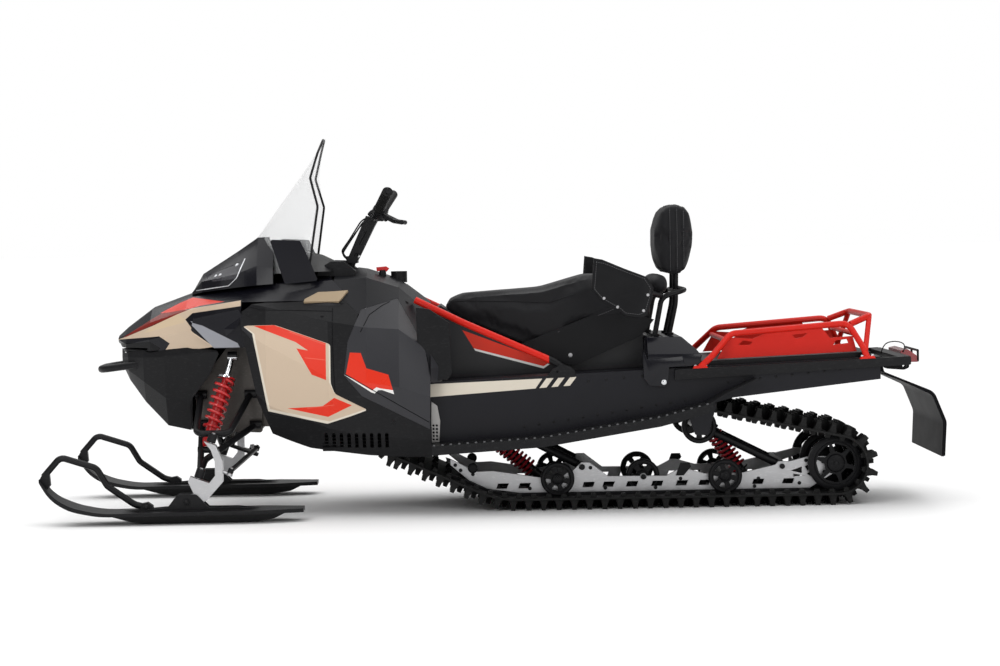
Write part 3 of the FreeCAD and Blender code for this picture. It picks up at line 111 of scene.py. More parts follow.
def convex_pieces(outline: Sequence[Flat]) -> list[list[Flat]]:
    """Splits an outline into convex loops, each turning left.

    Args:
        outline: The corners in order, either way round.

    Returns:
        The loops, which share edges and fill the outline.
    """
    corners = [Vector((x, z, 0.0)) for x, z in outline]
    loops = []
    for indices in tessellate_polygon([corners]):
        loop = [outline[i] for i in indices]
        if abs(turn(*loop)) > STRAIGHT:
            loops.append(loop if turn(*loop) > 0 else loop[::-1])
    merged = True
    while merged:
        merged = False
        for first in loops:
            for second in loops:
                joined = None if first is second else join_loops(first, second)
                if joined:
                    loops = [loop for loop in loops if loop is not first and loop is not second] + [joined]
                    merged = True
                    break
            if merged:
                break
    return loops


def join_loops(first: list[Flat], second: list[Flat]) -> list[Flat] | None:
    """The two loops as one across the edge that they share, or None where that isn't convex."""
    for i, a in enumerate(first):
        b = first[(i + 1) % len(first)]
        if a in second and b in second and second[(second.index(b) + 1) % len(second)] == a:
            start = second.index(a)
            between = [second[(start + k) % len(second)] for k in range(1, len(second) - 1)]
            loop = [*first[: i + 1], *between, *first[i + 1 :]]
            return loop if is_convex(loop) else None
    return None


# Shader maths


class Wire:
    """One output in a shader tree. Python's operators add the Math nodes."""

    def __init__(self, tree: "ShaderTree", socket: bpy.types.NodeSocket) -> None:
        """Keeps the tree and the socket that carries the value."""
        self.tree = tree
        self.socket = socket

    def math(self, operation: str, *values: Value) -> "Wire":
        """Adds one Math node.

        Args:
            operation: The node's operation.
            values: Its numbers or wires, in order.

        Returns:
            The node's result.
        """
        return self.tree.wire("ShaderNodeMath", {"operation": operation}, dict(enumerate(values)))

    def __add__(self, other: Value) -> "Wire":
        """self + other."""
        return self.math("ADD", self, other)

    __radd__ = __add__

    def __sub__(self, other: Value) -> "Wire":
        """self - other."""
        return self.math("SUBTRACT", self, other)

    def __rsub__(self, other: Value) -> "Wire":
        """other - self."""
        return self.math("SUBTRACT", other, self)

    def __mul__(self, other: Value) -> "Wire":
        """self * other."""
        return self.math("MULTIPLY", self, other)

    __rmul__ = __mul__

    def least(self, other: Value) -> "Wire":
        """The smaller of the two values."""
        return self.math("MINIMUM", self, other)

    def most(self, other: Value) -> "Wire":
        """The larger of the two values."""
        return self.math("MAXIMUM", self, other)

    def soft(self, width: float) -> "Wire":
        """0 below zero and 1 above it, with a soft step of this width."""
        return self.tree.wire("ShaderNodeClamp", {}, {0: self * (1.0 / width) + 0.5, 1: 0.0, 2: 1.0})


class ShaderTree:
    """One material's node tree and the few kinds of node that the finishes use."""

    def __init__(self, name: str) -> None:
        """Starts a material of this name with its Principled shader."""
        self.material = bpy.data.materials.new(name)
        self.material.use_nodes = True
        self.tree = self.material.node_tree
        self.shader = self.tree.nodes["Principled BSDF"]
        self.place = self.wire("ShaderNodeTexCoord", {}, {}, "Object")

    def node(self, kind: str, settings: dict[str, Any], values: dict[Any, Value]) -> bpy.types.Node:
        """Adds a node.

        Args:
            kind: The node's type.
            settings: Its own settings, which are set first. The key "stops" gives a ramp's (place, colour) pairs.
            values: Numbers, colours or wires for its input sockets, by name or index.

        Returns:
            The new node.
        """
        made = self.tree.nodes.new(kind)
        for key, setting in settings.items():
            if key == "stops":
                for index, (place, colour) in enumerate(setting):
                    stop = made.color_ramp.elements[index] if index < 2 else made.color_ramp.elements.new(place)
                    stop.position, stop.color = place, (*colour, 1.0)
            else:
                setattr(made, key, setting)
        for key, value in values.items():
            socket = made.inputs[key]
            if isinstance(value, Wire):
                self.tree.links.new(value.socket, socket)
            elif isinstance(value, tuple) and len(socket.default_value) == 4:
                socket.default_value = (*value, 1.0)
            else:
                socket.default_value = value
        return made

    def wire(self, kind: str, settings: dict[str, Any], values: dict[Any, Value], output: Any = 0) -> Wire:
        """Adds a node as node() does and returns one of its outputs."""
        return Wire(self, self.node(kind, settings, values).outputs[output])

    def along(self, direction: Point) -> Wire:
        """The place on the piece, measured along a direction from the origin."""
        dot = {"operation": "DOT_PRODUCT"}
        return self.wire("ShaderNodeVectorMath", dot, {0: self.place, 1: direction}, "Value")

    def noise(self, scale: float, detail: float = 2.0, stretch: Point = (1.0, 1.0, 1.0)) -> Wire:
        """Fractal noise of this many cells a metre, 0 to 1."""
        place = self.place
        if stretch != (1.0, 1.0, 1.0):
            place = self.wire("ShaderNodeVectorMath", {"operation": "MULTIPLY"}, {0: place, 1: stretch})
        return self.wire("ShaderNodeTexNoise", {}, {"Vector": place, "Scale": scale, "Detail": detail})

    def cells(self, scale: float) -> Wire:
        """Distance to the nearest cell centre, for leather and cast grain."""
        return self.wire("ShaderNodeTexVoronoi", {}, {"Vector": self.place, "Scale": scale})

    def blend(self, low: Value, high: Value, share: Value) -> Wire:
        """A colour between two, by a share from 0 to 1."""
        node = self.node("ShaderNodeMix", {"data_type": "RGBA"}, {0: share, 6: low, 7: high})
        return Wire(self, node.outputs[2])

    def inside(self, outline: Sequence[Flat], edge: float = 0.0006) -> Wire:
        """1 inside an outline on the machine's side, 0 outside.

        Args:
            outline: The outline's (x, z) corners in order.
            edge: The width of the soft edge.

        Returns:
            The mask.
        """
        whole: Wire | None = None
        for corners in convex_pieces(outline):
            depth: Wire | None = None
            for (x0, z0), (x1, z1) in zip(corners, [*corners[1:], corners[0]]):
                length = math.hypot(x1 - x0, z1 - z0)
                nx, nz = (z0 - z1) / length, (x1 - x0) / length
                inward = self.along((nx, 0.0, nz)) - (x0 * nx + z0 * nz - SEAM_OVERLAP)
                depth = inward if depth is None else depth.least(inward)
            mask = depth.soft(edge)
            whole = mask if whole is None else whole.most(mask)
        return whole

    def bump(self, height: Wire, distance: float, strength: float = 1.0, round_edges: float = 0.0) -> None:
        """Feeds the shader's normal from a height, over edges that the light sees as rounded."""
        values: dict[Any, Value] = {"Height": height, "Distance": distance, "Strength": strength}
        if round_edges:
            values["Normal"] = self.wire("ShaderNodeBevel", {"samples": 4}, {"Radius": round_edges})
        self.tree.links.new(self.wire("ShaderNodeBump", {}, values).socket, self.shader.inputs["Normal"])

    def feed(self, name: str, value: Value) -> None:
        """Sets or links one of the shader's inputs."""
        socket = self.shader.inputs[name]
        if isinstance(value, Wire):
            self.tree.links.new(value.socket, socket)
        elif isinstance(value, tuple):
            socket.default_value = (*value, 1.0)
        else:
            socket.default_value = value


# Finishes

CLOUD_CELLS = 9.0
ROUGHNESS_SPREAD = 0.12
WEAR_CELLS, WEAR_FROM, WEAR_EDGE = 60.0, 0.62, 0.12
COAT_ROUGHNESS = 0.06


@dataclass(frozen=True)
class Patch:
    """A flat patch of colour on the machine's side, inside its outlines."""

    colour: Colour
    outlines: tuple[tuple[Flat, ...], ...]
    roughness: float = 0.3
    metallic: float = 0.0


@dataclass(frozen=True)
class Finish:
    """A moulded, painted, coated or bare surface."""

    name: str
    colour: Colour
    roughness: float = 0.5
    metallic: float = 0.0
    coat: float = 0.0
    grain: float = 0.0002
    grain_scale: float = 900.0
    mottle: float = 0.12
    round_edges: float = 0.0012
    brushed: Point = (1.0, 1.0, 1.0)
    patches: tuple[Patch, ...] = ()
    scuffs: float = 0.0
    specular: float = 0.32

    def material(self) -> bpy.types.Material:
        """Builds the finish's material."""
        tree = ShaderTree(self.name)
        dark = tuple(c * (1.0 - self.mottle) for c in self.colour)
        light = tuple(min(1.0, c * (1.0 + self.mottle)) for c in self.colour)
        cloud = tree.noise(CLOUD_CELLS, 3.0)
        colour: Wire = tree.blend(dark, light, cloud)
        rough: Wire = self.roughness - ROUGHNESS_SPREAD / 2 + ROUGHNESS_SPREAD * cloud
        metal: Value = self.metallic
        for patch in self.patches:
            for outline in patch.outlines:
                mask = tree.inside(outline)
                colour = tree.blend(colour, patch.colour, mask)
                rough = rough + mask * (patch.roughness - self.roughness)
                if patch.metallic != self.metallic:
                    metal = mask * (patch.metallic - self.metallic) + metal
        fine = tree.noise(self.grain_scale, 2.0, self.brushed)
        if self.scuffs:
            worn = (tree.noise(WEAR_CELLS, 4.0, (1.0, 1.0, 3.0)) - WEAR_FROM).soft(WEAR_EDGE) * self.scuffs
            colour = tree.blend(colour, tuple(min(1.0, c * 1.8 + 0.05) for c in self.colour), worn)
            rough = rough + worn * 0.2
        tree.feed("Base Color", colour)
        tree.feed("Roughness", rough)
        tree.feed("Metallic", metal)
        tree.feed("Specular IOR Level", self.specular)
        tree.feed("Coat Weight", self.coat)
        tree.feed("Coat Roughness", COAT_ROUGHNESS)
        tree.bump(fine, self.grain, round_edges=self.round_edges)
        return tree.material


@dataclass(frozen=True)
class Vinyl:
    """Matt seat cover with a pebbled grain and a faint sheen."""

    name: str = "seat_cover_vinyl"
    colour: Colour = (0.007, 0.007, 0.008)
    pebbles: float = 950.0

    def material(self) -> bpy.types.Material:
        """Builds the seat cover's material."""
        tree = ShaderTree(self.name)
        cloud = tree.noise(14.0, 4.0)
        lighter = tuple(c * 1.7 for c in self.colour)
        tree.feed("Base Color", tree.blend(self.colour, lighter, cloud))
        tree.feed("Roughness", 0.5 + 0.14 * cloud)
        tree.feed("Specular IOR Level", 0.16)
        tree.feed("Sheen Weight", 0.04)
        tree.feed("Sheen Roughness", 0.5)
        tree.bump(tree.cells(self.pebbles) + 0.3 * tree.noise(2400.0), 0.00035, 0.8)
        return tree.material


@dataclass(frozen=True)
class ClearSheet:
    """Clear polycarbonate, a little smoked."""

    name: str
    tint: Colour = (0.86, 0.87, 0.88)
    alpha: float = 0.28

    def material(self) -> bpy.types.Material:
        """Builds the clear sheet's material."""
        tree = ShaderTree(self.name)
        haze = tree.noise(3.0, 2.0)
        tree.feed("Base Color", tree.blend(self.tint, tuple(c * 0.96 for c in self.tint), haze))
        tree.feed("Roughness", 0.05 + 0.05 * haze)
        tree.feed("Alpha", self.alpha - 0.02 + 0.04 * haze)
        tree.feed("Specular IOR Level", 0.5)
        return tree.material


@dataclass(frozen=True)
class Lamp:
    """A lamp moulding with moulded flutes behind its face, its colour darker in the flutes' hollows as painted shade.
    """

    name: str
    colour: Colour
    flutes: Point = (0.0, 260.0, 0.0)

    def material(self) -> bpy.types.Material:
        """Builds the lamp's material."""
        tree = ShaderTree(self.name)
        wave = tree.along(self.flutes).math("SINE", tree.along(self.flutes))
        # Painted shade: the colour falls to 0.55 of itself in the flutes' hollows, where the bump's wave is lowest.
        tree.feed("Base Color", tree.blend(tuple(c * 0.55 for c in self.colour), self.colour, wave * 0.5 + 0.5))
        tree.feed("Roughness", 0.12)
        tree.feed("Coat Weight", 1.0)
        tree.feed("Coat Roughness", 0.03)
        tree.bump(wave, 0.0012, 0.6)
        return tree.material


BEIGE = (0.57, 0.45, 0.335)
PALE_BEIGE = (0.70, 0.64, 0.54)
RED = (0.70, 0.028, 0.008)
WHITE = (0.80, 0.79, 0.77)
BLACK = (0.006, 0.006, 0.007)
VENT_BEIGE = (0.36, 0.27, 0.17)

SIDE_PATCHES = (
    Patch(PALE_BEIGE, (((-0.944, 0.718), (-0.916, 0.727), (-0.810, 0.727), (-0.608, 0.648), (-0.608, 0.504),
                        (-0.592, 0.470), (-0.464, 0.403), (-0.620, 0.347), (-0.848, 0.396), (-0.899, 0.683)),), 0.3),
    Patch(BEIGE, (((-0.936, 0.714), (-0.914, 0.719), (-0.812, 0.719), (-0.617, 0.642), (-0.617, 0.502),
                   (-0.600, 0.463), (-0.480, 0.403), (-0.620, 0.357), (-0.839, 0.404), (-0.891, 0.683)),), 0.34),
    Patch(RED, (((-0.893, 0.711), (-0.819, 0.713), (-0.628, 0.645), (-0.628, 0.511), (-0.680, 0.531),
                 (-0.735, 0.627), (-0.692, 0.619), (-0.739, 0.651)),
                ((-0.771, 0.406), (-0.644, 0.413), (-0.600, 0.444), (-0.536, 0.416), (-0.624, 0.374))), 0.3),
    Patch((0.74, 0.10, 0.06), (((-0.76, 0.6885), (-0.628, 0.6405), (-0.628, 0.6385), (-0.762, 0.687)),
                               ((-0.705, 0.594), (-0.628, 0.585), (-0.628, 0.583), (-0.703, 0.592)),
                               ((-0.70, 0.4075), (-0.600, 0.419), (-0.600, 0.417), (-0.70, 0.4055))), 0.3),
    Patch(BLACK, (((-0.607, 0.490), (-0.609, 0.775), (-0.597, 0.775), (-0.595, 0.480)),), 0.4),
)
KNEE_PATCHES = (
    Patch(WHITE, (((-0.557, 0.527), (-0.462, 0.463), (-0.450, 0.459), (-0.438, 0.471), (-0.423, 0.471),
                   (-0.380, 0.455), (-0.384, 0.470), (-0.428, 0.483), (-0.444, 0.482), (-0.460, 0.474)),), 0.3),
    Patch(RED, (((-0.539, 0.609), (-0.500, 0.607), (-0.480, 0.551), (-0.400, 0.526), (-0.384, 0.470),
                 (-0.428, 0.477), (-0.444, 0.482), (-0.460, 0.470), (-0.555, 0.529)),), 0.3),
)
VENT_PATCHES = (
    Patch(VENT_BEIGE, (((-0.711, 0.790), (-0.656, 0.824), (-0.546, 0.830), (-0.578, 0.790)),), 0.34),
    Patch(WHITE, (((-0.714, 0.783), (-0.714, 0.790), (-0.578, 0.790), (-0.570, 0.783)),), 0.3),
)
NOSE_PATCHES = (
    Patch((0.20, 0.018, 0.012), (((-1.420, 0.660), (-1.366, 0.692), (-1.264, 0.752), (-1.190, 0.7905),
                                  (-1.150, 0.770), (-1.284, 0.715)),), 0.25),
    Patch(RED, (((-1.262, 0.757), (-1.190, 0.793), (-1.141, 0.813), (-1.011, 0.800), (-1.101, 0.786),
                 (-1.137, 0.776), (-1.223, 0.761)),), 0.28),
    Patch(BEIGE, (((-1.440, 0.655), (-1.397, 0.668), (-1.284, 0.712), (-1.187, 0.755), (-1.134, 0.775),
                   (-0.945, 0.804), (-0.945, 0.784), (-1.130, 0.759), (-1.158, 0.735), (-1.122, 0.690),
                   (-1.045, 0.635), (-1.040, 0.615), (-1.150, 0.590), (-1.260, 0.590), (-1.219, 0.646),
                   (-1.260, 0.673), (-1.400, 0.660)),), 0.34),
    Patch((0.60, 0.47, 0.32), (((-1.322, 0.684), (-1.164, 0.724), (-1.158, 0.735), (-1.187, 0.755),
                                (-1.284, 0.712)),), 0.32),
    Patch((0.27, 0.275, 0.30), (((-1.136, 0.729), (-1.086, 0.714), (-0.957, 0.647), (-0.950, 0.632),
                                (-1.046, 0.632)),), 0.22),
    *VENT_PATCHES,
)
TUNNEL_PATCHES = (
    Patch(PALE_BEIGE, (((-0.250, 0.4815), (0.168, 0.4950), (0.143, 0.4595), (-0.250, 0.4340)),
                       ((0.184, 0.4955), (0.210, 0.4965), (0.184, 0.4625), (0.158, 0.4605)),
                       ((0.228, 0.4965), (0.251, 0.4975), (0.226, 0.4650), (0.203, 0.4635)),
                       ((0.272, 0.4980), (0.295, 0.4990), (0.271, 0.4675), (0.248, 0.4665))), 0.35),
)
SEAT_BASE_PATCHES = (
    Patch(WHITE, (((-0.082, 0.603), (0.204, 0.538), (0.181, 0.522), (-0.076, 0.594)),), 0.3),
    Patch(RED, (((-0.124, 0.672), (-0.082, 0.603), (0.181, 0.531), (0.204, 0.545)),), 0.3),
)
BRACE_PATCHES = (
    Patch(BLACK, (((0.196, 0.48), (0.196, 0.60), (0.40, 0.60), (0.40, 0.48)),), 0.4),
)
RAIL_PATCHES = (
    Patch(BLACK, (((-0.30, 0.10), (-0.30, 0.30), (-0.178, 0.30), (-0.178, 0.10)),), 0.45),
)
DAMPER_PATCHES = (
    Patch((0.42, 0.012, 0.014), (((-1.20, 0.10), (-1.20, 0.520), (-0.90, 0.520), (-0.90, 0.10)),), 0.3),
    Patch(BLACK, (((-1.20, 0.592), (-1.20, 0.70), (-0.90, 0.70), (-0.90, 0.592)),), 0.35),
    Patch(BLACK, (((-0.20, 0.02), (-0.20, 0.40), (1.20, 0.40), (1.20, 0.02)),), 0.35),
)


class Finishes:
    """Every finish on the machine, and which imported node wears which."""

    black_gloss = Finish("gloss_black_paint", (0.005, 0.005, 0.008), 0.20, coat=0.10, grain=0.00003, mottle=0.2,
                         specular=0.20)
    black_satin = Finish("satin_black_plastic", (0.009, 0.009, 0.010), 0.42, mottle=0.2, scuffs=0.10, specular=0.14)
    pale_rivet = Finish("pale_rivet_coat", (0.45, 0.45, 0.46), 0.35, grain=0.00005)
    vent_beige = Finish("vent_cover_beige", VENT_BEIGE, 0.36, grain=0.00006, brushed=(4.0, 1.0, 0.2))
    worn_edge = Finish("worn_board_edge", (0.10, 0.10, 0.105), 0.42, 0.5, grain=0.0001)
    tank = Finish("tank_cover_plastic", (0.009, 0.009, 0.011), 0.38, mottle=0.1, patches=VENT_PATCHES, specular=0.18)
    frame_black = Finish("black_powder_coat", (0.008, 0.008, 0.009), 0.38, grain=0.0001, scuffs=0.12, specular=0.18)
    tunnel_black = Finish("tunnel_satin_coat", (0.010, 0.010, 0.013), 0.33, grain=0.00012, patches=TUNNEL_PATCHES,
                          specular=0.2)
    red_coat = Finish("red_powder_coat", (0.62, 0.016, 0.008), 0.34, grain=0.00006, scuffs=0.04, specular=0.2)
    brace = Finish("brace_tube_coat", (0.62, 0.016, 0.008), 0.34, grain=0.00006, patches=BRACE_PATCHES, specular=0.2)
    spring_red = Finish("spring_red_coat", (0.52, 0.020, 0.022), 0.28, coat=0.3, grain=0.00005, specular=0.5)
    spring_dark = Finish("spring_dark_red_coat", (0.46, 0.014, 0.026), 0.32, coat=0.2, grain=0.00005)
    rail_silver = Finish("rail_milled_aluminium", (0.52, 0.52, 0.53), 0.36, 0.75, grain=0.00010,
                         brushed=(0.04, 1.0, 1.0), patches=RAIL_PATCHES, scuffs=0.15)
    bulkhead = Finish("bulkhead_coat", (0.075, 0.068, 0.062), 0.40, 0.4, grain=0.00014, scuffs=0.2)
    forged = Finish("forged_silver", (0.50, 0.50, 0.51), 0.30, 0.85, grain=0.00012, scuffs=0.1)
    bright = Finish("bright_plate", (0.70, 0.71, 0.73), 0.16, 0.95, grain=0.00003, mottle=0.04)
    damper = Finish("damper_chrome", (0.72, 0.73, 0.75), 0.12, 1.0, grain=0.00002, mottle=0.03,
                    patches=DAMPER_PATCHES)
    toe = Finish("perforated_aluminium", (0.42, 0.41, 0.40), 0.36, 0.7, grain=0.0001)
    side = Finish("side_panel_paint", (0.015, 0.015, 0.018), 0.32, patches=SIDE_PATCHES, specular=0.22)
    knee = Finish("knee_panel_plastic", (0.024, 0.024, 0.028), 0.38, patches=KNEE_PATCHES)
    nose = Finish("nose_paint", (0.005, 0.005, 0.008), 0.24, coat=0.08, patches=NOSE_PATCHES, specular=0.2)
    seat_base = Finish("seat_base_plastic", (0.018, 0.018, 0.020), 0.30, patches=SEAT_BASE_PATCHES, specular=0.3)
    rubber = Finish("track_rubber", (0.007, 0.007, 0.007), 0.58, grain=0.0005, grain_scale=420.0, scuffs=0.2,
                    specular=0.2)
    flap_gloss = Finish("flap_gloss_rubber", (0.006, 0.006, 0.007), 0.50, grain=0.00008, specular=0.05)
    ski_plastic = Finish("ski_plastic", (0.006, 0.006, 0.007), 0.34, grain=0.0002, scuffs=0.12, specular=0.22)
    lamp_dark = Finish("lamp_housing_black", (0.004, 0.004, 0.005), 0.35, grain=0.00003, specular=0.1)
    key_red = Finish("key_red_plastic", (0.60, 0.02, 0.02), 0.35, grain=0.00005)
    screen = ClearSheet("screen_clear", alpha=0.13)
    lens = ClearSheet("lens_clear", (0.03, 0.03, 0.04), 0.62)
    tail_red = Lamp("tail_lamp_red", (0.45, 0.012, 0.02))
    sewn = Finish("shell_sewn_vinyl", (0.006, 0.006, 0.007), 0.36, grain=0.0003, specular=0.16)
    thread = Finish("seam_thread", (0.11, 0.11, 0.115), 0.6, grain=0.0001)
    vinyl = Vinyl()

    nodes: dict[str, str] = {
        "track": "rubber", "slide_rails": "rail_silver", "slide_shoes": "black_satin",
        "suspension_wheels": "black_satin", "drive_axle": "black_satin", "swing_arms": "frame_black",
        "tunnel": "tunnel_black",
        "running_boards": "frame_black", "cargo_deck": "frame_black", "deck_side_rails": "frame_black",
        "cargo_rack": "red_coat", "snow_flap": "flap_gloss", "tail_light": "tail_red",
        "nose_grille": "black_satin", "nose_cowl": "nose", "side_panels": "side", "flank_panels": "black_satin",
        "tank_cover": "tank", "knee_panels": "knee", "belly_pan": "black_satin",
        "headlight_pod": "black_gloss", "headlight_lenses": "lens", "windshield": "screen",
        "wind_deflectors": "black_gloss", "dash_console": "black_satin", "seat_base": "seat_base",
        "brace_tubes": "brace", "backrest_frame": "frame_black", "tail_housing": "black_gloss",
        "passenger_shells": "sewn", "spindle_left": "forged", "spindle_right": "forged",
        "tie_rod_left": "frame_black", "tie_rod_right": "frame_black", "steering_pitman": "frame_black",
        "wishbones": "frame_black", "dampers": "damper", "coil_springs": "spring_red", "ski_left": "ski_plastic",
        "ski_right": "ski_plastic", "front_bumper": "frame_black", "handlebar": "frame_black",
        "hand_grips": "rubber", "bar_controls": "black_satin", "front_frame": "bulkhead",
        "engine_block": "bulkhead", "fuel_cap": "black_satin", "seat": "vinyl", "backrest_pad": "vinyl",
    }

    def __init__(self) -> None:
        """Starts with no material made."""
        self.made: dict[str, bpy.types.Material] = {}

    def get(self, name: str) -> bpy.types.Material:
        """The material of a finish, made once."""
        if name not in self.made:
            self.made[name] = getattr(self, name).material()
        return self.made[name]

    def dress(self, nodes: dict[str, Object]) -> None:
        """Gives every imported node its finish."""
        for name, obj in nodes.items():
            obj.data.materials.clear()
            obj.data.materials.append(self.get(self.nodes[name]))
            LOG.info("%s wears %s", name, self.nodes[name])


# Mesh tools

MERGE = 1e-6


def linked(name: str, data: bpy.types.ID) -> Object:
    """A new object of this name in the scene."""
    obj = bpy.data.objects.new(name, data)
    bpy.context.scene.collection.objects.link(obj)
    return obj


def baked(work: BMesh, name: str) -> Mesh:
    """The drawn faces as a mesh of this name, all turned outwards. The drawing is freed."""
    bmesh.ops.recalc_face_normals(work, faces=work.faces)
    mesh = bpy.data.meshes.new(name)
    work.to_mesh(mesh)
    work.free()
    return mesh


def prism(work: BMesh, near: Sequence[Point], far: Sequence[Point]) -> None:
    """Draws the closed form between two outlines with the same number of corners."""
    low, high = ([work.verts.new(place) for place in outline] for outline in (near, far))
    work.faces.new(low)
    work.faces.new(high[::-1])
    for i in range(len(low)):
        k = (i + 1) % len(low)
        work.faces.new((low[i], high[i], high[k], low[k]))


def drawn_out(work: BMesh, corners: Sequence[Flat], low: float, high: float) -> None:
    """Draws a side outline drawn out across the machine from one y to another."""
    prism(work, [(x, low, z) for x, z in corners], [(x, high, z) for x, z in corners])


def block(corners: Sequence[Flat], low: float, high: float) -> Mesh:
    """A side outline drawn out across the machine, as a mesh of its own."""
    work = bmesh.new()
    drawn_out(work, corners, low, high)
    return baked(work, "block")


class Shop:
    """Makes finished pieces: places them on a body with a finish."""

    def __init__(self, finishes: Finishes, nodes: dict[str, Object]) -> None:
        """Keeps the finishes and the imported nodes."""
        self.finishes = finishes
        self.nodes = nodes

    def finish(self, name: str, mesh: Mesh, finish: str, slot: str, body: Body = Body.CHASSIS,
               angle: float = 35.0) -> Object:
        """Links a mesh as a piece.

        Args:
            name: The piece's name.
            mesh: Its mesh, already in place.
            finish: The finish it wears.
            slot: The record's material slot. Not used.
            body: The body it rides on.
            angle: Edges sharper than this many degrees stay sharp.

        Returns:
            The piece.
        """
        work = bmesh.new()
        work.from_mesh(mesh)
        for face in work.faces:
            face.smooth = True
        for edge in work.edges:
            edge.smooth = len(edge.link_faces) == 2 and edge.calc_face_angle(0.0) < math.radians(angle)
        work.to_mesh(mesh)
        work.free()
        obj = linked(name, mesh)
        obj.data.materials.clear()
        obj.data.materials.append(self.finishes.get(finish))
        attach(obj, body.value)
        LOG.info("piece %s: %d faces", name, len(mesh.polygons))
        return obj

    def evaluated(self, obj: Object) -> Mesh:
        """The object's mesh with its modifiers applied, and the object removed."""
        graph = bpy.context.evaluated_depsgraph_get()
        graph.update()
        mesh = bpy.data.meshes.new_from_object(obj.evaluated_get(graph), depsgraph=graph)
        bpy.data.objects.remove(obj)
        return mesh

    def form(self, build: Callable[[BMesh], None]) -> Object:
        """A small form to repeat, kept out of the scene. It is drawn in a new mesh by the function given."""
        work = bmesh.new()
        build(work)
        return bpy.data.objects.new("form", baked(work, "form"))

    def joined(self, meshes: Sequence[Mesh]) -> Mesh:
        """Several meshes as one."""
        work = bmesh.new()
        for mesh in meshes:
            work.from_mesh(mesh)
        whole = bpy.data.meshes.new("joined")
        work.to_mesh(whole)
        work.free()
        return whole

    def mirrored(self, mesh: Mesh) -> Mesh:
        """The mesh and its copy on the other side, as one."""
        other = mesh.copy()
        other.transform(Matrix.Scale(-1.0, 4, (0.0, 1.0, 0.0)))
        other.flip_normals()
        return self.joined([mesh, other])

    def bevelled(self, mesh: Mesh, width: float, segments: int, sharp: float = 30.0) -> Mesh:
        """A mesh with its edges rounded where they turn by more than this many degrees."""
        obj = linked("bevelled", mesh)
        bevel = obj.modifiers.new("bevel", "BEVEL")
        bevel.width, bevel.segments, bevel.limit_method = width, segments, "ANGLE"
        bevel.angle_limit = math.radians(sharp)
        return self.evaluated(obj)

    def plate(self, outline: Sequence[Flat], holes: Sequence[Sequence[Flat]], thickness: float, y: float,
              edge: float = 0.0008) -> Mesh:
        """A flat plate in the machine's side view.

        Args:
            outline: Its (x, z) corners.
            holes: The corners of each hole.
            thickness: Its thickness.
            y: The place of its middle.
            edge: The width of its broken edges.

        Returns:
            Its mesh.
        """
        curve = bpy.data.curves.new("plate", "CURVE")
        curve.dimensions, curve.fill_mode = "2D", "BOTH"
        curve.extrude, curve.bevel_depth, curve.offset = thickness / 2 - edge, edge, -edge
        curve.bevel_resolution = 1
        for loop in (outline, *holes):
            spline = curve.splines.new("POLY")
            spline.points.add(len(loop) - 1)
            for point, (x, z) in zip(spline.points, loop):
                point.co = (x, z, 0.0, 1.0)
            spline.use_cyclic_u = True
        mesh = self.evaluated(linked("plate", curve))
        mesh.transform(Matrix.Translation((0.0, y, 0.0)) @ Matrix.Rotation(math.pi / 2, 4, "X"))
        return mesh

    def tube(self, points: Iterable[Point], radius: float, closed: bool = False, smooth: bool = True,
             resolution: int = 6) -> Mesh:
        """A round tube along points.

        Args:
            points: The points that it follows.
            radius: Its radius.
            closed: True for a ring.
            smooth: True for a smooth line, False for straight runs.
            resolution: Steps between two points.

        Returns:
            Its mesh.
        """
        curve = bpy.data.curves.new("line", "CURVE")
        curve.dimensions = "3D"
        curve.bevel_depth = radius
        curve.bevel_resolution = 3
        curve.use_fill_caps = True
        curve.resolution_u = resolution
        places = list(points)
        spline = curve.splines.new("NURBS" if smooth else "POLY")
        spline.points.add(len(places) - 1)
        for point, place in zip(spline.points, places):
            point.co = (*place, 1.0)
        if smooth:
            spline.order_u = 3
            spline.use_endpoint_u = not closed
        spline.use_cyclic_u = closed
        return self.evaluated(linked("line", curve))


